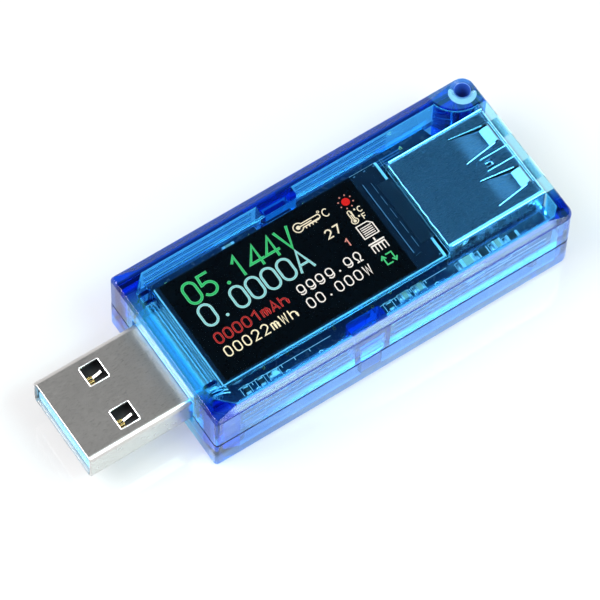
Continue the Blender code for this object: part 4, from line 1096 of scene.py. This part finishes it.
def build_underside():
    under_chip("microcontroller", pads=8)
    under_chip("current_sense_amplifier", legs=4)
    under_chip("memory_chip", legs=4)
    under_chip("voltage_regulator", legs=2)
    low, high = box("shunt_resistor")
    cap = 1.0
    ends = []
    for x, inner in ((low.x, low.x + cap), (high.x, high.x - cap)):
        ends.append(block((x, low.y, low.z), (inner, high.y, high.z), 0.06))
        ends.append(solder_dome(x, (low.y + high.y) / 2, high.y - low.y, 0.7, BOARD_LOW.z, -0.35))
    body_low = (low.x + cap - 0.02, low.y + 0.05, low.z + 0.05)
    body = block(body_low, (high.x - cap + 0.02, high.y - 0.05, high.z - 0.02), 0.06)
    add_piece("shunt_resistor_body", body, BLACK, ("shunt_resistor",))
    add_piece("shunt_resistor_ends", ends, SOLDER)
    low, high = box("crystal")
    flange = prism(around(low, high, 0.2, 5), high.z - 0.25, high.z, 0.03)
    lid = prism(around(low, high, 0.35, 6, -0.15), low.z, high.z - 0.24, 0.1)
    add_piece("crystal_can", [flange, lid], STEEL, ("crystal",))


# The ports

WINDOW_Y = 3.2
PLUG_WALL = 0.35
PLUG_TAIL = -19.9


def rounded_tube(start, end, low, high, radius, edge=0.0, steps=6):
    """A block along X with rounded long edges, and its two end rims rounded by edge. low and high are (y, z)."""
    tube = prism(around(low, high, radius, steps), start, end, edge, edge)
    return moved(tube, Matrix(((0, 0, 1, 0), (1, 0, 0, 0), (0, 1, 0, 0), (0, 0, 0, 1))))


def plug_tube(start, end, wall, radius, edge=0.0, steps=6):
    low, high = (PLUG_LOW.y + wall, PLUG_LOW.z + wall), (PLUG_HIGH.y - wall, PLUG_HIGH.z - wall)
    return rounded_tube(start, end, low, high, radius, edge, steps)


def build_plug():
    """Returns the solder joints of its contacts and legs."""
    mouth, outside = PLUG_LOW.x, PLUG_LOW.x - 1
    shell = plug_tube(mouth, PLUG_TAIL, 0.0, 0.7, 0.1, 8)
    steps = [
        (CUT, plug_tube(outside, PLUG_TAIL + 1, PLUG_WALL, 0.4)),
        (CUT, plug_tube(outside, mouth + 0.15, PLUG_WALL - 0.1, 0.5)),
        (CUT, block((outside, -0.04, PLUG_LOW.z - 1), (PLUG_TAIL + 1, 0.04, PLUG_LOW.z + 0.08))),
    ]
    left = mouth + 5.1
    top = PLUG_HIGH.z
    rims, carrier, springs, tips, joints = [], [], [], [], []
    for side in (-1, 1):
        y = side * WINDOW_Y
        low, high = (left, y - 1.3), (left + 2.5, y + 1.3)
        outline = around(low, high, 0.12, 4)
        steps.append((CUT, prism(outline, PLUG_LOW.z - 0.3, PLUG_LOW.z + PLUG_WALL + 0.2)))
        steps.append((CUT, prism(outline, top - PLUG_WALL - 0.2, top + 0.3)))
        steps.append((CUT, loft([(outline, top - 0.08), (inset(outline, -0.09), top + 0.01)])))
        leg_low = (PLUG_TAIL - 0.5, side * (PLUG_HIGH.y - PLUG_WALL), BOARD_HIGH.z + 0.15)
        steps.append((ADD, block(leg_low, (PLUG_TAIL + 2.2, side * PLUG_HIGH.y, BOARD_HIGH.z + 0.9), 0.06)))
        # Beads of the bright steel copy round the windows: painted highlight lines
        rims.append(wire([(*p, top) for p in around(low, high, 0.15, 4, 0.03)], 0.08, True))
        # A black block under each window: partly a contact carrier, partly painted shade of the plug's dark inside
        carrier.append(block((left - 0.9, y - 1.9, 6.12), (left + 3.4, y + 1.9, 6.3), 0.04))
        carrier.append(block((left + 0.2, y - 1.75, 6.3), (left + 1.5, y - 1.45, top - PLUG_WALL - 0.15), 0.04))
        path = [(left + 1.1, 6.5), (left + 1.6, 6.7), (left + 2.2, 7.0), (left + 2.5, 6.7)]
        springs.append(bent_strip(path, [0.3] * 4, 0.08, y + 0.1))
        for k in range(3):
            middle = y - 0.65 + 0.5 * k
            tips.append(block((left + 0.2, middle - 0.16, 6.3), (left + 1.15, middle + 0.16, 6.42), 0.05))
        joints.append(solder_dome(PLUG_TAIL + 1.4, side * (PLUG_HIGH.y - 0.2), 1.1, 1.9, BOARD_HIGH.z, 0.5))
    add_piece("plug_shell_fine", carve(shell, steps), STEEL, ("plug_shell",), angle=30)
    add_piece("plug_window_rims", rims, HIGHLIGHT_STEEL)
    refine("plug_insulator", BLUE, 0.06)
    add_piece("plug_contact_carrier", carrier, BLACK)
    add_piece("plug_ground_springs", springs, STEEL)
    add_piece("plug_contact_tips", tips, GOLD)
    for kind, count, across, along in (("contact", 4, 0.8, 1.1), ("fast_contact", 5, 0.7, 0.9)):
        for i in range(1, count + 1):
            low, high = box(f"plug_{kind}_{i}")
            joints.append(solder_dome(high.x, (low.y + high.y) / 2, across, along, BOARD_HIGH.z, 0.32))
    return joints


RIM_X = 23.6
TIP_X = 23.0
ROOT_X = TIP_X - 4.9
FINGER_Y = 3.25
SOCKET_WALL = 0.3
SOCKET_HALF = 6.6
SOCKET_FLOOR, SOCKET_ROOF = 4.2, 9.9


def finger_path(wall_z, inward):
    """Points and widths of a contact finger that dips, then turns up in a straight ramp."""
    bend = TIP_X - 1.15
    path = [(ROOT_X - 0.4, wall_z)]
    widths = [3.4]
    for i in range(9):
        share = i / 8
        path.append((ROOT_X + (bend - ROOT_X) * share, wall_z + inward * 0.3 * (1 - cos(pi * share))))
        widths.append(3.4 - 0.95 * share)
    path += [(bend + 0.08, wall_z + inward * 0.58), (TIP_X, wall_z + inward * 0.05)]
    return path, widths + [2.4, 2.1]


def build_socket():
    """Returns the solder joints of its contacts."""
    rear, half, top = SOCKET_LOW.x, SOCKET_HALF, SOCKET_ROOF
    shell = rounded_tube(rear, RIM_X, (-half, SOCKET_FLOOR), (half, top), 0.6, 0.05)
    low, high = (-half + SOCKET_WALL, SOCKET_FLOOR + SOCKET_WALL), (half - SOCKET_WALL, top - SOCKET_WALL)
    steps = [(CUT, rounded_tube(rear - 1, RIM_X + 1, low, high, 0.35))]
    strip = SOCKET_WALL * 0.96
    window = [(ROOT_X, -1.9), (TIP_X + 0.2, -1.25), (TIP_X + 0.2, 1.25), (ROOT_X, 1.9)]
    for wall_z, inward in ((top - SOCKET_WALL / 2, -1), (SOCKET_FLOOR + SOCKET_WALL / 2, 1)):
        for y in (-FINGER_Y, FINGER_Y):
            steps.append((CUT, prism([(x, v + y) for x, v in window], wall_z - 0.4, wall_z + 0.4)))
            steps.append((ADD, bent_strip(*finger_path(wall_z, inward), strip, y)))
        steps.append((CUT, block((19.8, -0.5, wall_z - 0.4), (20.9, 0.5, wall_z + 0.4))))
        path = [(RIM_X - 0.15, wall_z), (RIM_X, wall_z), (RIM_X + 0.35, wall_z - inward * 0.03)]
        path.append((24.45, wall_z - inward * 0.12))
        for y, width in ((-3.2, 2.8), (3.3, 2.6)):
            steps.append((ADD, bent_strip(path, [width] * 4, strip, y)))
    add_piece("receptacle_shell_fine", carve(shell, steps), SOCKET_STEEL, ("receptacle_shell",), angle=30)
    refine("receptacle_insulator", BLACK, 0.05)

    # Thin wires of the bright steel copy along the slot edges, the rim and the rear edge: painted highlight lines
    edges = []
    for side in (-1, 1):
        y = side * FINGER_Y
        for edge in (-1, 1):
            edges.append(wire([(ROOT_X, y + edge * 1.9, top), (TIP_X - 0.6, y + edge * 1.34, top)], 0.06))
        edges.append(wire([(x, side * (half - 0.12), top - 0.06) for x in (rear + 0.3, RIM_X)], 0.1))
    edges.append(wire([(RIM_X - 0.05, y, top) for y in (-6.2, -2.0, 2.0, 6.2)], 0.06))
    edges.append(wire([(TIP_X + 0.28, y, top) for y in (-4.6, 4.6)], 0.04))
    edges += [wire([(x, y, top) for x in (19.6, RIM_X)], 0.04) for y in (-0.75, 0.95)]
    rng = random.Random(3)
    edges.append(wire([(rear + rng.uniform(-0.03, 0.09), -6.1 + 0.61 * i, top) for i in range(21)], 0.07))
    add_piece("receptacle_highlight_edges", edges, HIGHLIGHT_STEEL)
    # Tabs and a plate in the bright steel copy, which paints highlights on them
    plates = [block((19.85, -0.2, top - 0.42), (20.85, 0.45, top - 0.34), 0.02)]
    for side in (-1, 1):
        for x in (12.4, 21.6):
            low = (x - 0.5, side * half, top - 1.6)
            plates.append(block(low, (x + 0.5, side * (half + 0.12), top - 0.5), 0.04))
    add_piece("receptacle_tabs", plates, HIGHLIGHT_STEEL)
    joints = []
    for i in range(1, 5):
        low, high = box(f"receptacle_contact_{i}")
        joints.append(solder_dome(low.x + 0.3, (low.y + high.y) / 2, 0.9, 1.3, BOARD_LOW.z, -0.4))
    return joints


# The button


def build_button():
    refine("switch_body", BLACK, 0.06)
    dome = refine("switch_dome", STEEL, 0.01)
    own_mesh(dome)
    low, high = box("button_cap")
    radius, flange, post = 2.1, 2.8, 1.2
    dish = ((0.0, 0.12), (0.7, 0.105), (1.25, 0.05), (1.45, 0.01), (1.6, 0.0))
    rim = ((radius - 0.2, 0.02), (radius - 0.06, 0.08), (radius, 0.2))
    collar = ((radius, 1.05), (flange - 0.05, 1.05), (flange, 1.1), (flange, 1.5), (flange - 0.05, 1.55))
    profile = [(r, low.z + z) for r, z in dish + rim] + [*collar, (post, 1.95), (post, high.z), (0.0, high.z)]
    cap = lathe(profile, (low.x + high.x) / 2, (low.y + high.y) / 2, 64)
    add_piece("button_cap_fine", cap, BLACK, ("button_cap",), "button")
    refine("switch_plunger", GREY, 0.04, "plunger")


# Main


def main():
    add_camera()
    add_light()
    sheet = bmesh.new()
    bmesh.ops.create_grid(sheet, x_segments=1, y_segments=1, size=1.5)
    floor = new_object("floor", sheet, make_floor())
    floor.location.z = -0.05 * mm

    build_top_cover()
    build_bottom_cover()
    build_case_details()
    add_piece("solder_joints", build_plug() + build_socket(), SOLDER)
    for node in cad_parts:
        if "contact" in node:
            refine(node, GOLD, 0.03)
    build_display()
    build_readouts()
    build_board()
    build_small_parts()
    build_underside()
    build_button()


main()
